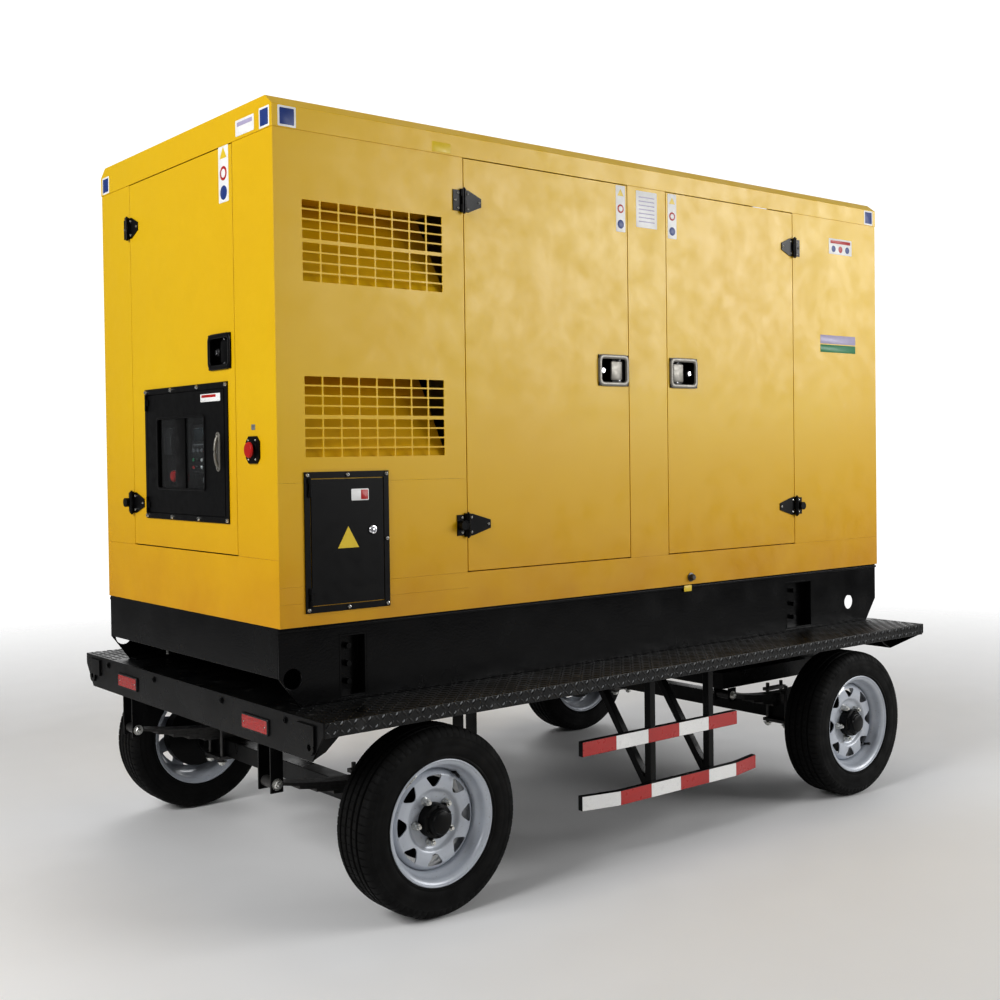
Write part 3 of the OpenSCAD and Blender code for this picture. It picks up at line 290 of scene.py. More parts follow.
def window_glass():
    f = Finish("window_glass", (0.86, 0.9, 0.92, 1), 0.03, Transmission_Weight=1.0, IOR=1.3)
    f.patches(9, 4, 0.5, 0.8, 0.3, (0.7, 0.74, 0.76, 1))
    f.wear(25, 5, 0.02, 0.1, 0.4, 0.8)
    f.grain(3, 1, 0.001, 0.1)
    return f.material


def casting(name, colour, roughness, metallic=0.1):
    """Painted or bare cast iron with oil film and grit."""
    f = Finish(name, colour, roughness, metallic)
    f.patches(11, 6, 0.45, 0.75, 0.5, darker(colour, 0.45))
    f.patches(80, 4, 0.62, 0.75, 0.35, paint(110, 92, 70))
    f.wear(20, 4, roughness - 0.14, roughness + 0.18)
    f.grain(230, 3, 0.0008, 0.7)
    return f.material


def radiator_fins():
    f = Finish("radiator_fins", paint(40, 41, 42), 0.5, 0.4)
    wave = f.tree.nodes.new("ShaderNodeTexWave")
    wave.bands_direction = "Z"
    wave.inputs["Scale"].default_value = 90
    f.link(f.place, wave.inputs["Vector"])
    # Painted shade: darker bands across the core stand for the shade in the gaps between the fins.
    f.tint(f.level(wave.outputs["Fac"], 0.3, 0.9, 0, 0.7), paint(14, 14, 15))
    f.wear(30, 3, 0.4, 0.6)
    f.bump(wave.outputs["Fac"], 0.002, 0.8)
    return f.material


def foam():
    f = Finish("foam", paint(30, 30, 32), 0.95)
    f.patches(40, 5, 0.4, 0.8, 0.5, paint(52, 51, 50))
    f.wear(80, 2, 0.86, 1.0)
    f.grain(500, 3, 0.001, 0.8)
    return f.material


YELLOW = canopy_coat()
CHASSIS = gloss_black("chassis_black", 0.2, 0.14)
BASE = gloss_black("base_black", 0.12, 0.12)
FITTING = gloss_black("fitting_black", 0.24, 0.1)
COVER = textured_black("cover_black", 5)
CABINET = textured_black("cabinet_black", 22)
TREAD = tread_paint()
RUBBER = rubber()
RIM = rim_paint()
ZINC = bare_metal("bright_zinc", paint(214, 214, 210), 0.22)
CHROME = bare_metal("chrome", paint(232, 232, 236), 0.08, 60)
FORGED = bare_metal("forged_steel", paint(96, 95, 94), 0.42, 40)
SATIN = satin_grey()
TAPE_WHITE = tape("tape_white", paint(238, 238, 236), paint(196, 198, 202))
TAPE_RED = tape("tape_red", paint(176, 14, 8), paint(118, 8, 6))
LENS = reflector_lens()
GLASS = window_glass()
RED = moulded("red_plastic", paint(178, 24, 20), 0.3)
DARK = moulded("dark_plastic", paint(20, 20, 21), 0.4)
GREY = moulded("grey_plastic", paint(120, 122, 124), 0.45)
WHITE = moulded("white_vinyl", paint(236, 236, 234), 0.35)
BLUE = moulded("blue_vinyl", paint(36, 62, 128), 0.35)
SUN = moulded("yellow_vinyl", paint(226, 196, 48), 0.35)
GREEN = moulded("green_vinyl", paint(44, 128, 84), 0.35)
LILAC = moulded("lilac_vinyl", paint(176, 168, 196), 0.35)
SCREEN = moulded("screen", paint(34, 42, 46), 0.12)
FOAM = foam()
ENGINE = casting("engine_paint", paint(64, 76, 70), 0.42)
ALTERNATOR = casting("alternator_paint", paint(140, 145, 148), 0.45, 0.2)
EXHAUST = casting("exhaust_lagging", paint(112, 98, 88), 0.7, 0.3)
FINS = radiator_fins()


# ---- mesh helpers

class Face:
    """A flat place to build on: its origin, and right, up and outwards as seen from outside."""

    def __init__(self, origin, right, up):
        self.origin, self.right, self.up = Vector(origin), Vector(right), Vector(up)
        self.out = self.right.cross(self.up)

    def at(self, a, b, c=0.0):
        return self.origin + self.right * a + self.up * b + self.out * c


def rear_face(x, y, z):
    return Face((x, y, z), -Y, Z)


def side_face(side, x, y, z):
    return Face((x, y, z), X if side < 0 else -X, Z)


def circle(radius, count, a=0.0, b=0.0, turn=0.0):
    steps = [turn + 2 * math.pi * i / count for i in range(count)]
    return [(a + radius * math.cos(t), b + radius * math.sin(t)) for t in steps]


def rounded(width, height, radius, a=0.0, b=0.0, steps=5):
    """Outline of a rectangle with round corners, anticlockwise."""
    points = []
    for quarter, (sa, sb) in enumerate(((1, 1), (-1, 1), (-1, -1), (1, -1))):
        for i in range(steps + 1):
            t = (quarter + i / steps) * math.pi / 2
            points.append((a + sa * (width / 2 - radius) + radius * math.cos(t),
                           b + sb * (height / 2 - radius) + radius * math.sin(t)))
    return points


def loft(bm, rings, closed=False, capped=True, slot=0):
    """Joins rings of points with faces, and closes the two ends or the whole loop."""
    loops = [[bm.verts.new(p) for p in ring] for ring in rings]
    pairs = list(zip(loops, loops[1:] + loops[:1])) if closed else list(zip(loops, loops[1:]))
    made = []
    for one, two in pairs:
        count = len(one)
        for i in range(count):
            made.append(bm.faces.new((one[i], one[(i + 1) % count], two[(i + 1) % count], two[i])))
    if capped and not closed:
        made.append(bm.faces.new(list(reversed(loops[0]))))
        made.append(bm.faces.new(loops[-1]))
    for f in made:
        f.material_index = slot


def prism(bm, face, outline, low, high, ease=0.0, slot=0):
    """A closed block over an outline; its top edge is eased in two steps."""
    middle = Vector((sum(a for a, b in outline), sum(b for a, b in outline))) / len(outline)

    def shrunk(by, level):
        reach = max((Vector(p) - middle).length for p in outline)
        share = 1 - by / reach
        return [face.at(middle.x + (a - middle.x) * share, middle.y + (b - middle.y) * share, level)
                for a, b in outline]

    levels = [(0, low), (0, high)]
    if ease:
        levels = [(0, low), (0, high - ease), (ease * 0.3, high - ease * 0.3), (ease, high)]
    loft(bm, [shrunk(by, level) for by, level in levels], slot=slot)


def turned(bm, face, a, b, profile, steps=24, slot=0):
    """A turned solid standing on a face; the profile is (radius, height) from its foot up."""
    tiny = 0.00002
    rings = [[face.at(p[0], p[1], h) for p in circle(max(r, tiny), steps, a, b)]
             for r, h in profile]
    loft(bm, rings, slot=slot)


def hoop(bm, face, outer, inner, low, high):
    """A ring between two outlines of as many points, with a soft crown."""
    crown = high - (high - low) * 0.3

    def between(share):
        return [(p[0] * (1 - share) + q[0] * share, p[1] * (1 - share) + q[1] * share)
                for p, q in zip(outer, inner)]

    section = [(outer, low), (outer, crown), (between(0.2), high), (between(0.8), high),
               (inner, crown), (inner, low)]
    loft(bm, [[face.at(a, b, level) for a, b in outline] for outline, level in section], closed=True)


def tube(bm, path, radius, slot=0):
    """A round rod along a smooth path, closed at its ends."""
    rings = []
    for i, point in enumerate(path):
        ahead = path[min(i + 1, len(path) - 1)] - path[max(i - 1, 0)]
        turn = ahead.to_track_quat("Z", "Y")
        rings.append([point + turn @ Vector((a, b, 0)) for a, b in circle(radius, 12)])
    loft(bm, rings, slot=slot)


def block(bm, low, high, ease=0.002, slot=0):
    """A box between two corners with eased edges."""
    low, high = Vector(low), Vector(high)
    made = bmesh.ops.create_cube(bm, size=1.0)["verts"]
    for v in made:
        v.co = Vector((low[i] + (high[i] - low[i]) * (v.co[i] + 0.5) for i in range(3)))
    edges = list({e for v in made for e in v.link_edges})
    out = bmesh.ops.bevel(bm, geom=edges, offset=ease, segments=2, profile=0.5,
                          affect="EDGES", clamp_overlap=True)
    for f in {f for v in out["verts"] for f in v.link_faces}:
        f.material_index = slot


def piece(bm, name, body, *materials, smooth=38):
    """Turns a bmesh into a piece that rides on a CAD body."""
    bmesh.ops.recalc_face_normals(bm, faces=bm.faces)
    mesh = bpy.data.meshes.new(name)
    bm.to_mesh(mesh)
    bm.free()
    for material in materials:
        mesh.materials.append(material)
    mesh.polygons.foreach_set("use_smooth", [True] * len(mesh.polygons))
    mesh.set_sharp_from_angle(angle=math.radians(smooth))
    obj = bpy.data.objects.new(name, mesh)
    add_to_scene(obj)
    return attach(obj, body)


def add_to_scene(obj):
    bpy.context.scene.collection.objects.link(obj)


def thicken(bm, behind):
    """Closes an open sheet with a back, whose points come from the front's, and with edges."""
    bmesh.ops.delete(bm, geom=[v for v in bm.verts if not v.link_faces], context="VERTS")
    twin = {v: bm.verts.new(behind(v.co)) for v in list(bm.verts)}
    sheet = list(bm.faces)
    rim = [e.verts[:] for e in bm.edges if e.is_boundary]
    for f in sheet:
        bm.faces.new([twin[v] for v in reversed(f.verts)])
    for a, b in rim:
        bm.faces.new((a, b, twin[b], twin[a]))


def screw(bm, face, a, b, radius, height, slot=0):
    """A pan-head screw with a hexagon socket."""
    turned(bm, face, a, b, [(radius * 1.25, 0), (radius * 1.25, height * 0.2), (radius, height * 0.22),
                            (radius, height * 0.6), (radius * 0.8, height * 0.92),
                            (radius * 0.5, height), (radius * 0.45, height * 0.6), (0, height * 0.6)],
           18, slot)


def screws(bm, face, across, up, radius, height, slot=0):
    """A screw at each crossing of two lists of distances."""
    for a in across:
        for b in up:
            screw(bm, face, a, b, radius, height, slot)


def hex_bolt(bm, face, a, b, radius, height, slot=0):
    """A washer, a hexagon head with chamfered corners, and the thread's end."""
    turned(bm, face, a, b, [(radius * 1.45, 0), (radius * 1.45, height * 0.16),
                            (radius * 0.9, height * 0.18)], 20, slot)
    rings = [circle(radius, 6, a, b), circle(radius, 6, a, b), circle(radius * 0.86, 6, a, b)]
    loft(bm, [[face.at(p, q, level) for p, q in ring]
              for ring, level in zip(rings, (height * 0.16, height * 0.72, height * 0.85))], slot=slot)
    turned(bm, face, a, b, [(radius * 0.5, height * 0.8), (radius * 0.5, height),
                            (radius * 0.42, height * 1.06)], 14, slot)


# ---- CAD nodes that stay

def dress(node, material):
    mesh = nodes[node].data
    mesh.materials.clear()
    mesh.materials.append(material)
    mesh.polygons.foreach_set("use_smooth", [True] * len(mesh.polygons))
    if "custom_normal" in mesh.attributes:
        mesh.attributes.remove(mesh.attributes["custom_normal"])


def soften(node, width):
    """Eases a CAD node's sharp edges, so that they catch the light as folded sheet and cut plate do."""
    obj = nodes[node]
    weld = obj.modifiers.new("weld", "WELD")
    weld.merge_threshold = 0.00002
    flat = obj.modifiers.new("flat", "DECIMATE")
    flat.decimate_type = "DISSOLVE"
    flat.angle_limit = math.radians(0.4)
    edge = obj.modifiers.new("edge", "BEVEL")
    edge.width = width
    edge.segments = 2
    edge.limit_method = "ANGLE"
    edge.angle_limit = math.radians(38)
    normals = obj.modifiers.new("normals", "WEIGHTED_NORMAL")
    normals.keep_sharp = True


DRESSED = {
    YELLOW: (["near_side_panel", "far_side_panel", "rear_panel", "front_panel", "roof",
              "near_rear_door", "near_front_door", "far_rear_door", "far_front_door", "rear_door"], 0.9),
    TREAD: (["deck_plate"], 1.5),
    CHASSIS: (["chassis_frame", "end_beams", "guard_frames", "bogie_frame", "drawbar", "turntable_ring",
               "rear_axle", "front_axle", "rear_hangers", "guard_rails"], 1.8),
    BASE: (["base_skid", "base_brackets"], 1.6),
    FORGED: (["tow_eye", "rear_springs", "front_springs"], 0.8),
    FITTING: (["hinge_leaves", "near_rear_door_fittings", "near_front_door_fittings",
               "far_rear_door_fittings", "far_front_door_fittings", "rear_door_fittings"], 0.5),
    COVER: (["window_frame", "window_door", "terminal_frame", "terminal_door", "estop_plate"], 0.8),
    CABINET: (["control_cabinet"], 1.0),
    LENS: (["rear_reflectors"], 1.0),
    GLASS: (["window_glass"], 0.4),
    RED: (["estop_button"], 1.5),
    DARK: (["battery", "fan"], 1.5),
    ENGINE: (["engine"], 5.0),
    ALTERNATOR: (["alternator"], 4.0),
    EXHAUST: (["exhaust"], 0.0),
    FINS: (["radiator"], 2.0),
}
UNEASED = {"exhaust", "front_panel", "window_glass"}


def dress_frame():
    for material, (names, ease) in DRESSED.items():
        for name in names:
            dress(name, material)
            if name in UNEASED:
                nodes[name].data.set_sharp_from_angle(angle=math.radians(35))
            else:
                soften(name, ease * MM)


# ---- wheels

TYRE_PITCHES = 72
RIM_INSET = 6  # millimetres from the tyre's side to the rim's lip
NUTS_BELOW_LIP = 52


def tyre_outline(radius, half):
    """Half section of a tyre in millimetres: (distance from its mid plane, radius, tread depth)."""
    side = [(half - 16, radius - 90, 0), (half - 7, radius - 90.5, 0), (half - 2, radius - 86, 0),
            (half - 3.2, radius - 81, 0), (half - 0.6, radius - 76, 0), (half - 0.2, radius - 66, 0),
            (half, radius - 55, 0), (half - 0.8, radius - 52, 0), (half - 0.1, radius - 49, 0),
            (half - 0.8, radius - 38, 0), (half - 2.6, radius - 30, 0), (half - 2.0, radius - 28, 0.7),
            (half - 4.5, radius - 19, 1.0), (half - 8, radius - 11.5, 1.4), (half - 13, radius - 6.5, 2.2),
            (half - 20, radius - 3.2, 3.0), (half - 28, radius - 1.6, 3.0)]
    depth, lip = 7.5, 1.2
    tread = []
    for centre in (40, 14):
        tread += [(centre + 5.2, radius - 0.9, 2.0), (centre + 4.0, radius - 1.0 - lip, 1),
                  (centre + 3.0, radius - depth, 0), (centre - 3.0, radius - depth, 0),
                  (centre - 4.0, radius - 0.4 - lip, 1), (centre - 5.2, radius - 0.3, 2.0)]
    whole = side + tread
    return whole + [(-w, r, d) for w, r, d in reversed(whole)]


def wheel_point(axle, side, w, r, turn):
    """A point by its distance outwards and its radius, both in millimetres, and its angle."""
    return axle + Vector((r * MM * math.cos(turn), side * w * MM, r * MM * math.sin(turn)))


def make_tyre(name, axle, side, radius, half):
    """Ring of tread blocks: each pitch is a block and a slanting slot across the shoulders."""
    radius, half = radius / MM, half / MM
    outline = tyre_outline(radius, half)
    back = [(18 - half, radius - 84), (13 - half, radius - 40), (0, radius - 22),
            (half - 13, radius - 40), (half - 18, radius - 84)]
    columns = ((0.0, 0), (0.84, 0), (0.87, 1), (0.97, 1))
    rings = []
    for pitch in range(TYRE_PITCHES):
        for share, cut in columns:
            ring = []
            for w, r, depth in outline:
                skew = 0.35 * abs(w) / half if abs(w) > 10 else 0
                turn = 2 * math.pi * (pitch + share + skew) / TYRE_PITCHES
                ring.append(wheel_point(axle, side, w, r - depth * cut, turn))
            turn = 2 * math.pi * (pitch + share) / TYRE_PITCHES
            ring.extend(wheel_point(axle, side, w, r, turn) for w, r in back)
            rings.append(ring)
    bm = bmesh.new()
    loft(bm, rings, closed=True)
    return piece(bm, name, name.replace("_tyre_tread", "_wheel"), RUBBER, smooth=32)


def softened(points):
    """Cuts the corners of a closed section twice, so that a pressed sheet bends instead of folding."""
    for _ in range(2):
        cut = []
        for (a, b), (c, d) in zip(points, points[1:] + points[:1]):
            cut += [(a * 0.75 + c * 0.25, b * 0.75 + d * 0.25), (a * 0.25 + c * 0.75, b * 0.25 + d * 0.75)]
        points = cut
    return points


def make_rim(name, body, axle, side, half):
    """Rolled rim barrel: outer lips, bead seats and the drop well."""
    h = half / MM - RIM_INSET
    outer = [(h, 177), (h - 1, 181.5), (h - 4, 183), (h - 8, 180), (h - 10, 172), (h - 13, 166),
             (h - 34, 164), (h - 50, 150), (h - 84, 150), (-h + 34, 164), (-h + 13, 166), (-h + 10, 172),
             (-h + 6, 182), (-h + 1, 182), (-h, 177)]
    inner = [(-h + 4, 176), (-h + 9, 163), (-h + 31, 160), (h - 86, 146), (h - 48, 146), (h - 32, 160),
             (h - 14, 162), (h - 7, 168), (h - 4, 175)]
    section, steps = softened(outer + inner), 112
    bm = bmesh.new()
    loft(bm, [[wheel_point(axle, side, w, r, 2 * math.pi * i / steps) for w, r in section]
              for i in range(steps)], closed=True)
    return piece(bm, name, body, RIM, smooth=60)


WINDOW_COUNT = 8
WINDOW_R = (96, 130)


def disc_height(r):
    """Outward height of the pressed disc over its nut face, in millimetres, at a radius."""
    steps = [(38, 0), (76, 0), (82, 2), (88, 9), (94, 12), (112, 14), (130, 12), (138, 6), (146, -6)]
    for (r0, h0), (r1, h1) in zip(steps, steps[1:]):
        if r <= r1:
            share = (r - r0) / (r1 - r0)
            share = share * share * (3 - 2 * share)
            return h0 + (h1 - h0) * share
    return steps[-1][1]


def window_half_width(r):
    """Half width of a window at a radius: a triangle with round corners, wide end outwards."""
    low, high = WINDOW_R
    corner = 7
    width = 6 + (r - low) / (high - low) * 24
    edge = min(r - low, high - r)
    if edge >= corner:
        return width
    return width - corner + math.sqrt(max(corner ** 2 - (corner - edge) ** 2, 0))


def make_disc(name, body, axle, side, face_w):
    """The wheel's pressed disc with its eight windows, as one sheet with thickness."""
    radii = [38, 46, 54, 62, 70, 76, 80, 84, 88, 92] \
        + [WINDOW_R[0] + d for d in (0, 1.5, 4, 8, 13, 19, 25, 30, 32.5, 34)] + [134, 138, 142, 146]
    cells = 6
    pitch = 2 * math.pi / WINDOW_COUNT
    centre = axle + Vector((0, side * face_w, 0))
    bm = bmesh.new()
    verts = []
    for r in radii:
        inside = min(max(r, WINDOW_R[0]), WINDOW_R[1])
        half_angle = window_half_width(inside) / inside
        turns = []
        for sector in range(WINDOW_COUNT):
            middle = pitch * sector
            turns += [middle + half_angle * (2 * i / cells - 1) for i in range(cells)]
            turns += [middle + half_angle + (pitch - 2 * half_angle) * i / cells for i in range(cells)]
        verts.append([bm.verts.new(wheel_point(centre, side, disc_height(r), r, t)) for t in turns])
    columns = len(verts[0])
    for j in range(len(radii) - 1):
        for i in range(columns):
            in_window = i % (2 * cells) < cells
            if in_window and radii[j] >= WINDOW_R[0] and radii[j + 1] <= WINDOW_R[1]:
                continue
            k = (i + 1) % columns
            bm.faces.new((verts[j][i], verts[j][k], verts[j + 1][k], verts[j + 1][i]))
    back = Vector((0, side * 4 * MM, 0))
    thicken(bm, lambda point: point - back)
    return piece(bm, name, body, RIM, smooth=50)


def nut_face(axle, side, face_w):
    """The flat that the wheel's nuts sit on, seen from outside."""
    return Face(axle + Vector((0, side * face_w, 0)), X * -side, Z)


def make_hub(name, body, axle, side, face_w):
    """Bearing hub with its grease cap, painted black."""
    face = nut_face(axle, side, face_w)
    bm = bmesh.new()
    profile = ((118, -70), (118, -26), (112, -22), (66, -20), (66, -8), (54, -6), (50, 0), (50, 26),
               (48, 30), (40, 32), (38, 38), (38, 42), (35, 45), (33, 46), (31, 51), (22, 54), (8, 55),
               (0, 55))
    turned(bm, face, 0, 0, [(r * MM, h * MM) for r, h in profile], 48)
    for a, b in circle(0.044, 6, turn=math.pi / 6):
        hex_bolt(bm, face, a, b, 0.0042, 0.036)
    return piece(bm, name, body, FITTING, smooth=40)


def make_nuts(name, body, axle, side, face_w):
    """Five nuts with washers and stud ends round the hub."""
    face = nut_face(axle, side, face_w)
    bm = bmesh.new()
    first, bolt_circle = 0.74, 0.062
    for i in range(5):
        turn = 2 * math.pi * i / 5 + first
        a, b = bolt_circle * math.cos(turn), bolt_circle * math.sin(turn)
        turned(bm, face, a, b, [(0.0125, -0.002), (0.0125, 0.003), (0.0105, 0.006)], 20)
        rings = [(0.0108, 0.005), (0.0108, 0.017), (0.0092, 0.021)]
        loft(bm, [[face.at(p, q, h) for p, q in circle(r, 6, a, b, turn)] for r, h in rings])
        turned(bm, face, a, b, [(0.006, 0.018), (0.006, 0.0265), (0.0048, 0.028)], 14)
    piece(bm, name, body, ZINC)


def make_valve(name, body, axle, side, face_w, turn):
    """Rubber valve stem with its cap, leaning in from the rim."""
    out = Vector((0, side, 0))
    spoke = Vector((math.cos(turn), 0, math.sin(turn)))
    foot = axle + spoke * 0.151 + out * (face_w - 0.006)
    lean = (out - spoke * 0.35).normalized()
    right = lean.orthogonal().normalized()
    face = Face(foot, right, lean.cross(right))
    bm = bmesh.new()
    turned(bm, face, 0, 0, [(0.008, -0.004), (0.008, 0.003), (0.0062, 0.006), (0.0046, 0.012),
                            (0.004, 0.026), (0.0048, 0.027), (0.0048, 0.038), (0.0036, 0.0405)], 16)
    piece(bm, name, body, DARK)


def make_weights(name, body, axle, side, half):
    """Balance weights clipped on the rim's lip."""
    bm = bmesh.new()
    start, step = 2.1, 0.035
    rings = []
    for i in range(9):
        turn = start + i * step
        spoke = Vector((math.cos(turn), 0, math.sin(turn)))
        centre = axle + spoke * 0.1725 + Vector((0, side * (half - 0.0095), 0))
        swell = 0.0035 if 0 < i < 8 else 0.0024
        rings.append([centre + spoke * a + Vector((0, side * b, 0)) for a, b in circle(swell, 8)])
    loft(bm, rings)
    piece(bm, name, body, ZINC)


def make_wheels():
    for row in ("rear", "front"):
        for where, side in SIDES.items():
            body = f"{row}_{where}_wheel"
            tyre_low, tyre_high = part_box(f"{row}_{where}_tyre")
            axle = (tyre_low + tyre_high) / 2
            radius, half = (tyre_high.z - tyre_low.z) / 2, (tyre_high.y - tyre_low.y) / 2
            face_w = half - (RIM_INSET + NUTS_BELOW_LIP) * MM
            tyre = make_tyre(f"{row}_{where}_tyre_tread", axle, side, radius, half)
            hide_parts(f"{row}_{where}_tyre")
            rim = make_rim(f"{row}_{where}_rim", body, axle, side, half)
            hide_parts(f"{row}_{where}_wheel")
            make_disc(f"{row}_{where}_disc", body, axle, side, face_w)
            make_hub(f"{row}_{where}_hub", body, axle, side, face_w)
            make_nuts(f"{row}_{where}_nuts", body, axle, side, face_w)
            make_valve(f"{row}_{where}_valve", body, axle, side, face_w, 1.0 if row == "rear" else -0.75)
            make_weights(f"{row}_{where}_weights", body, axle, side, half)


# ---- deck

def lozenge(bm, face, a, b, turn, length=0.0125, width=0.0042, height=0.0016):
    """One raised lens of tread plate."""
    cos, sin = math.cos(turn), math.sin(turn)

    def ring(share, level):
        points = [(p * length, q * width) for p, q in circle(share, 10)]
        return [face.at(a + p * cos - q * sin, b + p * sin + q * cos, level) for p, q in points]

    loft(bm, [ring(1, -0.0004), ring(0.72, height * 0.8), ring(0.4, height)])


TREAD_PITCH = 0.0225


def tread_field(bm, face, width, height):
    """Lozenges over a rectangle of a face, each turned across its neighbours."""
    margin = 0.010
    columns = int((width - 2 * margin) / TREAD_PITCH)
    rows = max(int((height - 2 * margin) / TREAD_PITCH), 1)
    step_a, step_b = (width - 2 * margin) / columns, (height - 2 * margin) / rows
    for i in range(columns + 1):
        for j in range(rows + 1):
            turn = math.pi / 4 if (i + j) % 2 else -math.pi / 4
            lozenge(bm, face, margin + i * step_a, margin + j * step_b, turn)


def make_deck():
    low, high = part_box("deck_plate")
    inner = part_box("base_skid")[1].y - 0.002
    length, skirt_h = high.x - low.x, high.z - low.z
    for where, side in SIDES.items():
        bm = bmesh.new()
        top = Face((low.x, -high.y if side < 0 else inner, high.z), X, Y)
        tread_field(bm, top, length, high.y - inner)
        skirt = side_face(side, low.x if side < 0 else high.x, side * high.y, low.z)
        tread_field(bm, skirt, length, skirt_h)
        # Painted highlights: rows of light grey lozenges along the skirt's bottom and top edges, where
        # light catches the tread.
        highlight_lozenges = bmesh.new()
        for k, height in enumerate((0.012, skirt_h - 0.006)):
            for i in range(int(length / (2 * TREAD_PITCH)) - 1):
                a = 0.03 + TREAD_PITCH * k + i * 2 * TREAD_PITCH
                lozenge(highlight_lozenges, skirt, a, height, math.pi / 4, 0.0065, 0.0026, 0.0019)
        piece(highlight_lozenges, f"{where}_highlight_tread", "trailer", GREY, smooth=60)
        piece(bm, f"{where}_tread_pattern", "trailer", TREAD, smooth=60)


# ---- side guards

def rail_span(above):
    """X range of the upper or the lower guard rail."""
    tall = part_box("guard_rails")
    middle = (tall[0].z + tall[1].z) / 2
    xs = [v.co.x for v in nodes["guard_rails"].data.vertices if (v.co.z > middle) == above]
    return min(xs), max(xs)


def rail_face(x, above):
    """Distance from the centre line to a rail's outer face at x; the lower rail's ends bend in."""
    low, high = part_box("guard_rails")
    ys = [(v.co.x, v.co.y) for v in nodes["guard_rails"].data.vertices
          if (v.co.z > (low.z + high.z) / 2) == above and v.co.y > 0]
    corners = {}
    for cx, cy in ys:
        key = round(cx, 3)
        corners[key] = max(corners.get(key, 0), cy)
    line = sorted(corners.items())
    for (x0, y0), (x1, y1) in zip(line, line[1:]):
        if x <= x1:
            return y0 + (y1 - y0) * (x - x0) / (x1 - x0)
    return line[-1][1]


def make_tapes():
    """Red and white tape along both guard rails, in pieces of equal length."""
    low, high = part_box("guard_rails")
    rail_h = 0.048
    for above, first, count in ((True, 0, 5), (False, 1, 6)):
        x0, x1 = rail_span(above)
        z0 = high.z - rail_h if above else low.z
        level = "upper" if above else "lower"
        for colour, material in enumerate((TAPE_RED, TAPE_WHITE)):
            bm = bmesh.new()
            for side in SIDES.values():
                for i in range(count):
                    if (i + first) % 2 != colour:
                        continue
                    a, b = x0 + (x1 - x0) * i / count, x0 + (x1 - x0) * (i + 1) / count
                    steps = 12
                    rings = []
                    for k in range(steps + 1):
                        x = a + 0.0004 + (b - a - 0.0008) * k / steps
                        y = rail_face(x, above)
                        rings.append([Vector((x, side * (y + out), z0 + rail_h * up)) for out, up in
                                      ((-0.0006, 0.03), (0.0007, 0.03), (0.0009, 0.5), (0.0007, 0.97),
                                       (-0.0006, 0.97))])
                    loft(bm, rings)
            name = f"{level}_{'red' if material is TAPE_RED else 'white'}_tapes"
            piece(bm, name, "trailer", material)


# ---- latches and hinges

LATCH_W, LATCH_H = 0.140, 0.105
PIN_FROM_CENTRE = 0.051


def latch_places():
    """Each paddle's node, its door, its face with the latch's centre as origin, and the pin's side."""
    places = []
    for where, side in SIDES.items():
        for row in ("rear", "front"):
            node = f"{where}_{row}_paddle"
            low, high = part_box(node)
            toward = 1 if row == "rear" else -1
            pin_x = high.x - 0.003 if toward > 0 else low.x + 0.003
            door_low, door_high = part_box(f"{where}_{row}_door")
            y = door_low.y if side < 0 else door_high.y
            centre = (pin_x - toward * PIN_FROM_CENTRE, y, (low.z + high.z) / 2)
            face = side_face(side, *centre)
            places.append((node, f"{where}_{row}_door", face, toward * -side))
    low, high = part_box("rear_paddle")
    door_low, door_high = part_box("rear_door")
    centre = (door_low.x, low.y + 0.003 + PIN_FROM_CENTRE, (low.z + high.z) / 2)
    places.append(("rear_paddle", "rear_door", rear_face(*centre), 1))
    return places


def make_latches():
    """Each latch's bezel, its lock with two screws, and the paddle's plate that moves."""
    for node, door, face, toward in latch_places():
        plain = SATIN if door != "rear_door" else FITTING
        bm = bmesh.new()
        hoop(bm, face, rounded(LATCH_W + 0.002, LATCH_H + 0.002, 0.02),
             rounded(LATCH_W - 0.026, LATCH_H - 0.026, 0.011), 0.0005, 0.0075)
        piece(bm, f"{door}_latch_bezel", door, plain)
        bm = bmesh.new()
        lock = -toward * 0.040
        turned(bm, face, lock, 0, [(0.0125, -0.031), (0.0125, -0.012), (0.0105, -0.0095)], 28, 1)
        turned(bm, face, lock, 0, [(0.0085, -0.012), (0.0085, -0.006), (0.0078, -0.005), (0.0, -0.005)], 28)
        block(bm, *sorted_corners(face, lock - 0.001, -0.005, -0.0052, lock + 0.001, 0.005, -0.0042),
              ease=0.0002, slot=1)
        screws(bm, face, (toward * 0.030,), (-0.036, 0.036), 0.003, 0.004)
        piece(bm, f"{door}_latch_lock", door, CHROME, DARK)
        bm = bmesh.new()
        a = toward * (PIN_FROM_CENTRE - 0.030)
        prism(bm, face, rounded(0.052, 0.064, 0.004, a), -0.0105, -0.0035, 0.002)
        for b in (0.0365, -0.0365):
            prism(bm, face, rounded(0.044, 0.010, 0.003, a, b), -0.009, -0.0055, 0.001, 1)
        pin = toward * PIN_FROM_CENTRE
        tube(bm, [face.at(pin, b / 4 * 0.043, -0.006) for b in range(-4, 5)], 0.003, 1)
        paddle = piece(bm, f"{node}_plate", node, plain, FITTING)
        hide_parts(node)


def sorted_corners(face, a0, b0, c0, a1, b1, c1):
    """Low and high corners in the frame of a box given on a face."""
    p, q = face.at(a0, b0, c0), face.at(a1, b1, c1)
    low = Vector((min(p[i], q[i]) for i in range(3)))
    high = Vector((max(p[i], q[i]) for i in range(3)))
    return low, high


def hinge_heights(fittings):
    """Heights of a door's two hinges: the straps lie at its fittings' lowest and highest ends."""
    low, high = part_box(fittings)
    strap_half = 0.034
    return low.z + strap_half, high.z - strap_half


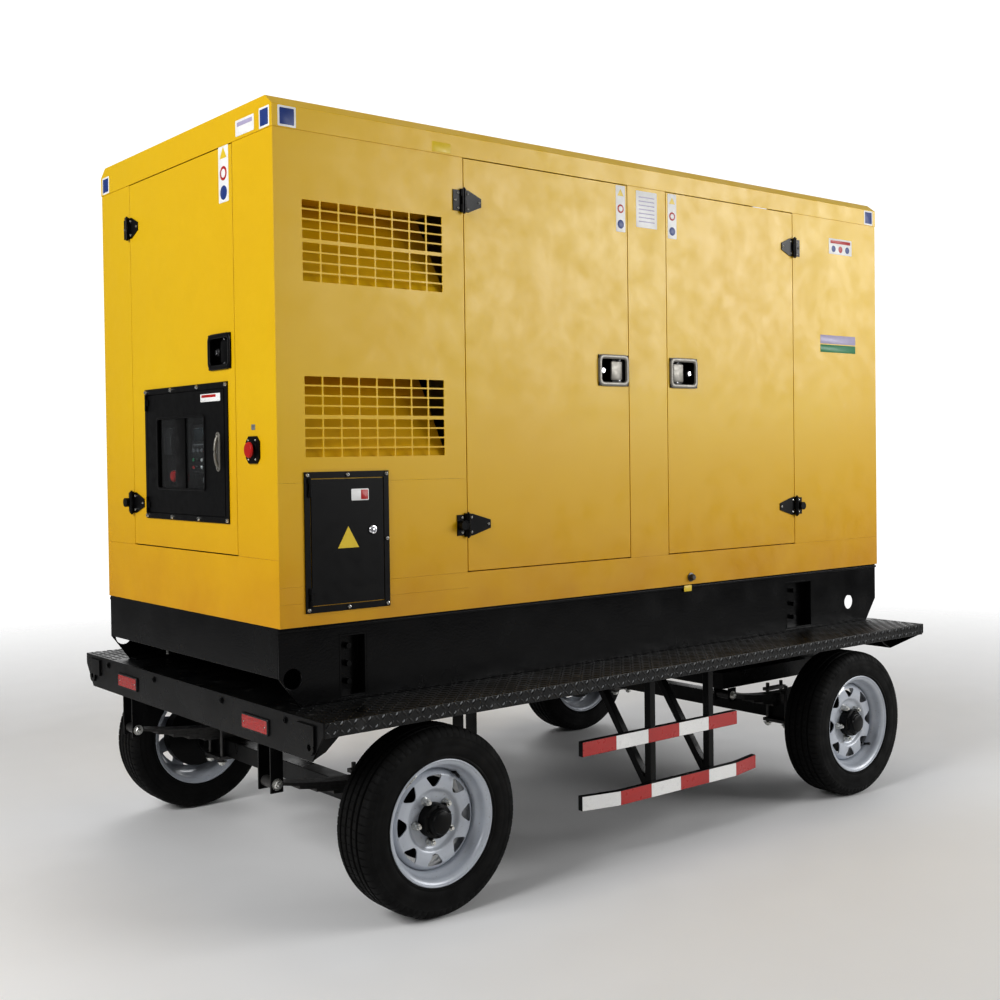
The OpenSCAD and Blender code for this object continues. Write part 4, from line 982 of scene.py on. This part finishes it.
def make_hinge_screws():
    """Screws on both straps of each hinge; the top strap is longer."""
    head = 0.0065
    doors = [(f"{w}_{r}_door", s, r) for w, s in SIDES.items() for r in ("rear", "front")]
    doors.append(("rear_door", 0, "rear"))
    for door, side, row in doors:
        low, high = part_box(door)
        fixed, moving = bmesh.new(), bmesh.new()
        for index, z in enumerate(hinge_heights(f"{door}_fittings")):
            if side:
                hinge_x = low.x - 0.005 if row == "rear" else high.x + 0.005
                face = side_face(side, hinge_x, low.y if side < 0 else high.y, z)
                toward = (1 if row == "rear" else -1) * -side
            else:
                face = rear_face(low.x, high.y + 0.005, z)
                toward = 1
            reach = 0.072 + (0.022 if side else 0.014) * (1 - index)
            for b in (-0.023, 0.023):
                screw(fixed, face, -toward * 0.019, b, 0.0042, head)
                screw(moving, face, toward * 0.017, b, 0.0042, head)
            screw(fixed, face, -toward * 0.030, 0, 0.0042, head)
            screw(moving, face, toward * (reach - 0.009), 0, 0.0042, head)
        piece(fixed, f"{door}_hinge_screws_fixed", "trailer", ZINC)
        piece(moving, f"{door}_hinge_screws", door, ZINC)


# ---- rear door: window, panel, stop button

def make_window_fasteners():
    low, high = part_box("window_frame")
    face = rear_face(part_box("rear_door")[0].x, (low.y + high.y) / 2, (low.z + high.z) / 2)
    half_w, half_h = (high.y - low.y) / 2 - 0.009, (high.z - low.z) / 2 - 0.009
    bm = bmesh.new()
    screws(bm, face, [half_w * (2 * i / 3 - 1) for i in range(4)], (-half_h, half_h), 0.0068, 0.0095)
    piece(bm, "window_frame_screws", "rear_door", ZINC)


def make_window_trim():
    """Rubber seal round the pane, the bar between the two views and the pull handle."""
    glass_low, glass_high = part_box("window_glass")
    door_low, door_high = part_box("window_door")
    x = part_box("rear_door")[0].x - 0.0045
    face = rear_face(x, (glass_low.y + glass_high.y) / 2, (glass_low.z + glass_high.z) / 2)
    pane_w, pane_h = glass_high.y - glass_low.y - 0.02, glass_high.z - glass_low.z - 0.02
    bm = bmesh.new()
    hoop(bm, face, rounded(pane_w + 0.012, pane_h + 0.012, 0.014),
         rounded(pane_w - 0.004, pane_h - 0.004, 0.01), -0.0005, 0.0028)
    divider = 0.071
    prism(bm, face, rounded(divider, pane_h, 0.002, -0.0035), -0.0045, -0.0008, 0.001)
    piece(bm, "window_seal", "window_door", COVER)
    bm = bmesh.new()
    handle_y, handle_z = -0.257, 1.3335
    handle = rear_face(x, handle_y, handle_z)
    prism(bm, handle, rounded(0.026, 0.119, 0.0129), 0, 0.003, 0.0012)
    bow = []
    for i in range(25):
        t = i / 24
        rise = 0.010 * math.sin(math.pi * min(max((t - 0.04) / 0.92, 0), 1)) ** 0.5
        bow.append(handle.at(0, 0.048 * (2 * t - 1), 0.002 + rise))
    tube(bm, bow, 0.0048)
    screws(bm, handle, (0,), (-0.052, 0.052), 0.0032, 0.0055)
    piece(bm, "window_pull", "window_door", SATIN)
    bm = bmesh.new()
    patch = rear_face(x, door_low.y + 0.086, door_high.z - 0.023)
    prism(bm, patch, rounded(0.130, 0.024, 0.003), *STICKER)
    prism(bm, patch, rounded(0.094, 0.008, 0.001, -0.010, 0.005), *PRINT, 1)
    piece(bm, "window_label", "window_door", WHITE, RED)


def make_rear_door_seals():
    """Thin dark ring round the window leaf as painted shade for the gap round it, and the stop strip under
    the rear door.
    """
    leaf_low, leaf_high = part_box("window_door")
    door_low, door_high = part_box("rear_door")
    face = rear_face(door_low.x, (leaf_low.y + leaf_high.y) / 2, (leaf_low.z + leaf_high.z) / 2)
    width, height = leaf_high.y - leaf_low.y, leaf_high.z - leaf_low.z
    # Painted shade: a thin dark ring over the gap round the window leaf.
    bm = bmesh.new()
    hoop(bm, face, rounded(width + 0.008, height + 0.008, 0.003),
         rounded(width - 0.010, height - 0.010, 0.003), 0.00002, 0.00024)
    piece(bm, "window_gap_shade", "rear_door", COVER)
    bm = bmesh.new()
    back = door_high.x + 0.0012
    panel_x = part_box("rear_panel")[0].x + 0.0025
    half = (door_high.y - door_low.y) / 2 - 0.018
    middle = (door_high.y + door_low.y) / 2
    z = door_low.z
    for x0, x1, top in ((back, back + 0.003, z + 0.016), (panel_x, back + 0.001, z - 0.0065)):
        block(bm, (x0, middle - half, z - 0.009), (x1, middle + half, top))
    piece(bm, "rear_door_stop_strip", "trailer", DARK)


def make_control_panel():
    """Instruments on the cabinet's face behind the window."""
    pane_low, pane_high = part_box("window_glass")
    face = rear_face(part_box("control_cabinet")[0].x, 0, (pane_low.z + pane_high.z) / 2)
    bm = bmesh.new()
    for a, width in ((-0.105, 0.112), (0.0955, 0.130)):
        prism(bm, face, rounded(width, 0.21, 0.004, a), 0, 0.003, 0.001)
    prism(bm, face, rounded(0.118, 0.150, 0.006, 0.0955, 0.012), 0.002, 0.014, 0.004, 1)
    prism(bm, face, rounded(0.070, 0.040, 0.003, 0.086, 0.055), 0.013, 0.0148, 0.0006, 2)
    prism(bm, face, rounded(0.098, 0.004, 0.001, 0.0955, 0.026), 0.013, 0.0148, 0.0006, 3)
    for i in range(4):
        a = 0.054 + i * 0.0265
        turned(bm, face, a, 0.008, [(0.0062, 0.013), (0.0062, 0.0165), (0.005, 0.018), (0, 0.0182)], 20, 3)
    lamps = ((5, 4), (1, 1), (6, 6), (5, 4))
    for i, pair in enumerate(lamps):
        for j, slot in enumerate(pair):
            a, b = 0.052 + i * 0.0285, -0.022 - j * 0.022
            turned(bm, face, a, b, [(0.0072, 0.013), (0.0072, 0.015), (0.0058, 0.0156)], 20, 1)
            turned(bm, face, a, b, [(0.0056, 0.0145), (0.0050, 0.0185), (0.0026, 0.0205), (0, 0.0209)],
                   20, slot)
    turned(bm, face, 0.118, -0.084, [(0.012, 0.002), (0.012, 0.006), (0.010, 0.009), (0.010, 0.014),
                                     (0, 0.0145)], 24, 3)
    prism(bm, face, rounded(0.052, 0.088, 0.003, -0.128, 0.040), 0.002, 0.020, 0.002, 1)
    for b in (0.064, 0.004):
        prism(bm, face, rounded(0.014, 0.012, 0.001, -0.075, b), 0.002, 0.007, 0.001, 2)
    turned(bm, face, -0.085, -0.073, [(0.021, 0.002), (0.021, 0.006), (0.013, 0.007), (0.012, 0.014),
                                      (0.0185, 0.015), (0.0195, 0.020), (0.016, 0.025), (0, 0.027)], 36, 4)
    piece(bm, "control_instruments", "trailer", CABINET, DARK, SCREEN, GREY, RED, GREEN, WHITE)


def make_estop():
    """Screws of the stop button's plate, the button's domed cap and the tag over it."""
    low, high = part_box("estop_plate")
    face = rear_face(high.x, (low.y + high.y) / 2, (low.z + high.z) / 2)
    bm = bmesh.new()
    half = (high.z - low.z) / 2 - 0.010
    screws(bm, face, (-half * 0.7, half * 0.7), (-half * 0.95, half * 0.95), 0.0034, 0.0085)
    piece(bm, "estop_screws", "trailer", ZINC)
    bm = bmesh.new()
    top = high.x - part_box("estop_button")[0].x
    turned(bm, face, 0, 0, [(0.0211, top - 0.0080), (0.0232, top - 0.0070), (0.0236, top - 0.0045),
                            (0.0220, top - 0.0020), (0.0140, top - 0.0004), (0.0134, top - 0.0014),
                            (0, top - 0.0016)], 40)
    cap = piece(bm, "estop_cap", "estop_button", RED)
    bm = bmesh.new()
    tag = rear_face(high.x, (low.y + high.y) / 2, high.z + 0.026)
    prism(bm, tag, rounded(0.022, 0.016, 0.002), 0, 0.0008, 0.0002)
    prism(bm, tag, rounded(0.014, 0.006, 0.001, 0, 0.002), 0.0005, 0.0011, 0.0001, 1)
    piece(bm, "estop_tag", "trailer", GREY, SATIN)


# ---- terminal box

def make_terminal_details():
    """Screws of the terminal box's frame, and the labels and lock of its door."""
    low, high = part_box("terminal_frame")
    door_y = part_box("near_side_panel")[0].y
    centre = ((low.x + high.x) / 2, door_y, (low.z + high.z) / 2)
    face = side_face(-1, *centre)
    half_w, half_h = (high.x - low.x) / 2 - 0.009, (high.z - low.z) / 2 - 0.009
    bm = bmesh.new()
    screws(bm, face, (-half_w, 0, half_w), (-half_h, half_h), 0.0058, 0.009)
    screw(bm, face, half_w, 0, 0.0058, 0.009)
    piece(bm, "terminal_frame_screws", "trailer", ZINC)
    door = Face(face.at(0, 0, 0.0045), face.right, face.up)
    bm = bmesh.new()
    size = 0.036
    triangle = [(-size, -size * 0.58), (size, -size * 0.58), (0, size * 1.16)]
    prism(bm, door, triangle, -0.0002, 0.0007, 0.0002)
    prism(bm, door, rounded(0.060, 0.034, 0.003, 0.042, 0.132), *STICKER, 1)
    prism(bm, door, rounded(0.024, 0.028, 0.002, 0.057, 0.132), *PRINT, 2)
    piece(bm, "terminal_labels", "terminal_door", SUN, WHITE, RED)
    bm = bmesh.new()
    turned(bm, door, 0.084, 0.028, [(0.0135, 0), (0.0135, 0.003), (0.0115, 0.0055), (0.0085, 0.0062),
                                    (0.0080, 0.0045), (0, 0.0045)], 32)
    prism(bm, door, rounded(0.0052, 0.0052, 0.0006, 0.084, 0.028), 0.003, 0.0064, 0.0004)
    piece(bm, "terminal_lock", "terminal_door", CHROME)


def make_far_cover():
    """Blank cover screwed over the far side's spare cut-out."""
    low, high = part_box("terminal_frame")
    panel_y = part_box("far_side_panel")[1].y
    face = side_face(1, (low.x + high.x) / 2, panel_y, (low.z + high.z) / 2)
    width, height = high.x - low.x, high.z - low.z
    bm = bmesh.new()
    prism(bm, face, rounded(width, height, 0.006), 0.0001, 0.0026, 0.0008)
    prism(bm, face, rounded(width - 0.06, height - 0.06, 0.012), 0.002, 0.0042, 0.0016)
    piece(bm, "far_blank_cover", "trailer", COVER)
    bm = bmesh.new()
    half_w, half_h = width / 2 - 0.012, height / 2 - 0.012
    screws(bm, face, (-half_w, 0, half_w), (-half_h, half_h), 0.0062, 0.0062)
    screws(bm, face, (-half_w, half_w), (0,), 0.0062, 0.0062)
    piece(bm, "far_blank_cover_screws", "trailer", ZINC)


# ---- labels, plain and unlettered

def strip_label(bm, face, width, height):
    """White strip with three plain coloured shapes, one above the other."""
    prism(bm, face, rounded(width, height, 0.003), *STICKER)
    step = height / 3
    r = width * 0.34
    triangle = [(-r, step - r * 0.6), (r, step - r * 0.6), (0, step + r)]
    prism(bm, face, triangle, *PRINT, 1)
    prism(bm, face, circle(r, 24), *PRINT, 2)
    prism(bm, face, circle(r * 0.62, 24), 0.0007, 0.0012, 0.0001, 0)
    prism(bm, face, circle(r, 24, 0, -step), *PRINT, 3)


def make_labels():
    """Plain coloured shapes in the places of the labels, without lettering."""
    panel_low, panel_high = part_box("near_side_panel")
    roof_low, roof_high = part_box("roof")
    band_low = roof_low.z
    for door, at in (("near_rear_door", -1), ("near_front_door", 1)):
        low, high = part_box(door)
        x = high.x - 0.0305 if at < 0 else low.x + 0.0315
        bm = bmesh.new()
        strip_label(bm, side_face(-1, x, low.y, high.z - 0.082), 0.044, 0.158)
        piece(bm, f"{door}_label", door, WHITE, SUN, RED, BLUE)
    bm = bmesh.new()
    rear = rear_face(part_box("rear_door")[0].x, panel_low.y + 0.290, band_low - 0.080)
    strip_label(bm, rear, 0.062, 0.170)
    piece(bm, "rear_door_label", "rear_door", WHITE, SUN, RED, BLUE)
    bm = bmesh.new()
    pillar = side_face(-1, CANOPY_X + 0.0635, panel_low.y, band_low - 0.075)
    prism(bm, pillar, rounded(0.103, 0.126, 0.003), *STICKER)
    for i in range(7):
        prism(bm, pillar, rounded(0.078, 0.0035, 0.001, 0, 0.042 - i * 0.014), 0.0004, 0.0008, 0.0001, 1)
    piece(bm, "pillar_label", "trailer", WHITE, LILAC)
    bm = bmesh.new()
    front = side_face(-1, panel_high.x - 0.235, panel_low.y, band_low - 0.105)
    prism(bm, front, rounded(0.150, 0.062, 0.003), *STICKER)
    prism(bm, front, rounded(0.130, 0.012, 0.002, 0, 0.018), *PRINT, 1)
    for a, slot in ((-0.045, 2), (0, 1), (0.045, 2)):
        prism(bm, front, circle(0.013, 20, a, -0.010), *PRINT, slot)
    piece(bm, "front_label", "trailer", WHITE, RED, BLUE)
    bm = bmesh.new()
    plate = side_face(-1, panel_high.x - 0.255, panel_low.y, 1.735)
    prism(bm, plate, rounded(0.230, 0.034, 0.003, 0, 0.018), *STICKER)
    prism(bm, plate, rounded(0.230, 0.030, 0.003, 0, -0.018), *STICKER, 1)
    piece(bm, "front_plate", "trailer", LILAC, GREEN)
    make_corner_patches(roof_low, roof_high)


def make_corner_patches(low, high):
    """Plain blue squares at the roof band's corners, and two small labels on the band."""
    z = (low.z + high.z - 0.029) / 2
    size = 0.058
    places = [rear_face(low.x, low.y + 0.042, z), rear_face(low.x, high.y - 0.042, z),
              side_face(-1, low.x + 0.048, low.y, z), side_face(-1, high.x - 0.048, low.y, z),
              side_face(1, low.x + 0.048, high.y, z), side_face(1, high.x - 0.048, high.y, z)]
    bm = bmesh.new()
    for face in places:
        prism(bm, face, rounded(size, size, 0.003), -0.0002, 0.0005, 0.0002)
        prism(bm, face, rounded(size - 0.012, size - 0.012, 0.002), 0.0003, 0.0008, 0.0001, 1)
    small = rear_face(low.x, low.y + 0.155, z)
    prism(bm, small, rounded(0.11, 0.046, 0.003), *STICKER)
    prism(bm, small, rounded(0.09, 0.012, 0.002, 0, 0.010), *PRINT, 2)
    middle = side_face(-1, low.x + 0.585, low.y, z - 0.012)
    prism(bm, middle, rounded(0.070, 0.030, 0.003), *STICKER, 3)
    piece(bm, "band_patches", "trailer", WHITE, BLUE, LILAC, SUN)


# ---- base, beams and underside

def make_base_details():
    """Drain plug and its tag on the base's side, and the bolts of its feet."""
    low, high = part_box("base_skid")
    bm = bmesh.new()
    plug = side_face(-1, CANOPY_X + 0.271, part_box("near_side_panel")[0].y, 0.862)
    turned(bm, plug, 0, 0, [(0.016, 0), (0.016, 0.003), (0.011, 0.004), (0.011, 0.010)], 24)
    head = ((0.011, 0.008), (0.011, 0.016), (0.009, 0.018))
    loft(bm, [[plug.at(p, q, h) for p, q in circle(r, 6)] for r, h in head])
    piece(bm, "drain_plug", "trailer", FORGED)
    bm = bmesh.new()
    tag = side_face(-1, CANOPY_X + 0.2595, low.y, 0.822)
    prism(bm, tag, rounded(0.040, 0.022, 0.003), -0.0002, 0.0010, 0.0003)
    piece(bm, "drain_tag", "trailer", SUN)
    bm = bmesh.new()
    for side in SIDES.values():
        for x in (low.x + 0.20, low.x + 0.60, 0.0, high.x - 0.75, high.x - 0.30):
            foot = Face((x, side * (high.y - 0.036), low.z + 0.006), X, Y)
            hex_bolt(bm, foot, 0, 0, 0.009, 0.014)
    piece(bm, "foot_bolts", "trailer", ZINC)


def make_beam_details():
    """Frames round the rear reflectors and the bolts of both end beams."""
    low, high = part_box("rear_reflectors")
    bm = bmesh.new()
    for y in (low.y + 0.075, high.y - 0.075):
        face = rear_face(high.x, y, (low.z + high.z) / 2)
        hoop(bm, face, rounded(0.158, 0.048, 0.006), rounded(0.146, 0.036, 0.004), 0, 0.0055)
        screws(bm, face, (-0.062, 0.062), (0,), 0.0032, 0.0075, 1)
    piece(bm, "reflector_frames", "trailer", DARK, ZINC)
    front_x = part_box("end_beams")[1].x
    deck_low, deck_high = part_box("deck_plate")
    bm = bmesh.new()
    for y in (-0.62, -0.24, 0.24, 0.62):
        for face in (rear_face(deck_low.x - 0.0065, y, deck_high.z - 0.022),
                     Face((front_x, y, deck_high.z - 0.022), Y, Z)):
            hex_bolt(bm, face, 0, 0, 0.008, 0.006)
    piece(bm, "beam_bolts", "trailer", FITTING)


SPRING_Y = 0.480


def make_shackle_nuts():
    """Nuts and washers on the ends of the spring pins and on the clamp bolts."""
    for springs, body in (("rear_springs", "trailer"), ("front_springs", "bogie")):
        low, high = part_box(springs)
        middle_x = (low.x + high.x) / 2
        pin_z = high.z - 0.016
        bm = bmesh.new()
        for side in SIDES.values():
            for out in (1, -1):
                for x in (low.x + 0.016, high.x - 0.016):
                    face = Face((x, side * SPRING_Y + out * 0.0385, pin_z), X * -out, Z)
                    hex_bolt(bm, face, 0, 0, 0.012, 0.012)
            for dx in (-0.042, 0.042):
                for dy in (-0.045, 0.045):
                    face = Face((middle_x + dx, side * SPRING_Y + dy, low.z + 0.012), X, -Y)
                    hex_bolt(bm, face, 0, 0, 0.0125, 0.014)
        piece(bm, f"{springs}_nuts", body, ZINC)


# ---- inside the canopy

def make_foam_lining():
    """Egg-box foam in each side door's pan, cut away round the latch."""
    for where, side in SIDES.items():
        for row in ("rear", "front"):
            door = f"{where}_{row}_door"
            low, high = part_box(door)
            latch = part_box(f"{where}_{row}_paddle")
            margin, pitch = 0.02, 0.0125
            inner_y = low.y + 0.0032 if side < 0 else high.y - 0.0032
            columns = int((high.x - low.x - 2 * margin) / pitch)
            rows = int((high.z - low.z - 2 * margin) / pitch)
            keep = (latch[0].x - 0.075, latch[1].x + 0.075, latch[0].z - 0.03, latch[1].z + 0.03)
            bm = bmesh.new()
            grid = {}
            for i in range(columns + 1):
                for j in range(rows + 1):
                    x, z = low.x + margin + i * pitch, low.z + margin + j * pitch
                    rise = 0.010 + 0.006 * math.sin(i * math.pi / 2) * math.sin(j * math.pi / 2)
                    grid[i, j] = bm.verts.new((x, inner_y - side * rise, z))
            for i in range(columns):
                for j in range(rows):
                    x, z = low.x + margin + (i + 0.5) * pitch, low.z + margin + (j + 0.5) * pitch
                    if keep[0] < x < keep[1] and keep[2] < z < keep[3]:
                        continue
                    bm.faces.new((grid[i, j], grid[i + 1, j], grid[i + 1, j + 1], grid[i, j + 1]))
            thicken(bm, lambda point: Vector((point.x, inner_y, point.z)))
            piece(bm, f"{door}_foam", door, FOAM, smooth=80)


def make_engine_details():
    """Belt between the crank and the fan, which shows when the doors are open."""
    fan_low, fan_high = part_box("fan")
    top, bottom, r_top, r_bottom = ((fan_low + fan_high) / 2).z, 1.080, 0.0655, 0.0905
    belt_x, width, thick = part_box("engine")[1].x - 0.137, 0.022, 0.010
    section = ((-width / 2, thick), (width / 2, thick), (width * 0.35, 0), (-width * 0.35, 0))
    rings = []
    for z, radius, first in ((top, r_top, 0), (bottom, r_bottom, math.pi)):
        for i in range(17):
            turn = first + math.pi * i / 16
            out = Vector((0, math.cos(turn), math.sin(turn)))
            rings.append([Vector((belt_x + dx, 0, z)) + out * (radius + dr) for dx, dr in section])
    bm = bmesh.new()
    loft(bm, rings, closed=True)
    piece(bm, "fan_belt", "trailer", RUBBER)


# ---- stage, light and camera

def make_stage():
    """Pale floor that fades out far from the object."""
    mesh = bpy.data.meshes.new("floor")
    bm = bmesh.new()
    reach = 40
    bmesh.ops.create_grid(bm, x_segments=1, y_segments=1, size=reach)
    bm.to_mesh(mesh)
    bm.free()
    floor = bpy.data.objects.new("floor", mesh)
    floor.location.z = cad_low.z - 0.0005
    add_to_scene(floor)
    f = Finish("floor", (0.86, 0.86, 0.86, 1), 0.7)
    f.patches(2, 3, 0.4, 0.7, 0.25, (0.82, 0.82, 0.82, 1))
    f.wear(6, 2, 0.6, 0.8)
    distance = f.tree.nodes.new("ShaderNodeVectorMath")
    distance.operation = "LENGTH"
    f.link(f.place, distance.inputs[0])
    f.link(f.level(distance.outputs["Value"], 2.6, 7.5, 1.0, 0.0), f.shader.inputs["Alpha"])
    mesh.materials.append(f.material)


def area_light(name, place, target, size, power):
    data = bpy.data.lights.new(name, "AREA")
    data.shape = "RECTANGLE"
    data.size, data.size_y = size
    data.energy = power
    light = bpy.data.objects.new(name, data)
    light.location = place
    light.rotation_mode = "QUATERNION"
    light.rotation_quaternion = (Vector(target) - Vector(place)).to_track_quat("-Z", "Y")
    add_to_scene(light)


def make_lights():
    """A pale wall of light ahead of the camera, a dim one behind it, and three area lights."""
    world = bpy.data.worlds.new("studio")
    world.use_nodes = True
    tree = world.node_tree
    background = tree.nodes["Background"]
    background.inputs["Color"].default_value = (1, 1, 1, 1)
    place = tree.nodes.new("ShaderNodeTexCoord")
    along = tree.nodes.new("ShaderNodeVectorMath")
    along.operation = "DOT_PRODUCT"
    along.inputs[1].default_value = (math.sin(HEADING), math.cos(HEADING), 0)
    wall = tree.nodes.new("ShaderNodeMapRange")
    wall.interpolation_type = "SMOOTHSTEP"
    for socket, value in (("From Min", 0.55), ("From Max", 0.92), ("To Min", 0.16), ("To Max", 0.95)):
        wall.inputs[socket].default_value = value
    tree.links.new(place.outputs["Generated"], along.inputs[0])
    tree.links.new(along.outputs["Value"], wall.inputs["Value"])
    tree.links.new(wall.outputs["Result"], background.inputs["Strength"])
    bpy.context.scene.world = world
    area_light("key", (-6.5, -1.0, 4.2), (0, 0, 1.4), (3.0, 3.0), 275)
    area_light("window", (5.6, -6.0, 3.3), (0.2, 0, 1.6), (5.5, 3.0), 340)
    area_light("back", (3.0, 6.0, 5.0), (0, 0, 1.0), (4.0, 4.0), 90)


EYE = Vector((CANOPY_X - 3.176, -3.7208, 1.3232))
HEADING, PITCH, ROLL = 0.6725, -0.0182, -0.0132
LENS_MM, SENSOR_MM = 45.93, 36.0
SHIFT = (0.0195, -0.025)


def make_camera():
    """Camera at the viewing angle: heading is turned from +Y towards +X."""
    ahead = Vector((math.sin(HEADING) * math.cos(PITCH), math.cos(HEADING) * math.cos(PITCH),
                    math.sin(PITCH)))
    right = Vector((math.cos(HEADING), -math.sin(HEADING), 0))
    up = right.cross(ahead)
    turned_right = right * math.cos(ROLL) + up * math.sin(ROLL)
    turned_up = up * math.cos(ROLL) - right * math.sin(ROLL)
    data = bpy.data.cameras.new("camera")
    data.sensor_width = SENSOR_MM
    data.lens = LENS_MM
    data.shift_x, data.shift_y = SHIFT
    data.clip_end = 200
    camera = bpy.data.objects.new("camera", data)
    axes = Matrix((turned_right, turned_up, -ahead)).transposed()
    camera.matrix_world = Matrix.Translation(EYE) @ axes.to_4x4()
    add_to_scene(camera)
    bpy.context.scene.camera = camera
    bpy.context.scene.view_settings.view_transform = "Standard"
    bpy.context.scene.view_settings.look = "Medium High Contrast"


# ---- the whole object

make_camera()
make_lights()
make_stage()
dress_frame()
make_wheels()
make_deck()
make_tapes()
make_latches()
make_hinge_screws()
make_window_fasteners()
make_window_trim()
make_rear_door_seals()
make_far_cover()
make_control_panel()
make_estop()
make_terminal_details()
make_labels()
make_base_details()
make_beam_details()
make_shackle_nuts()
make_foam_lining()
make_engine_details()
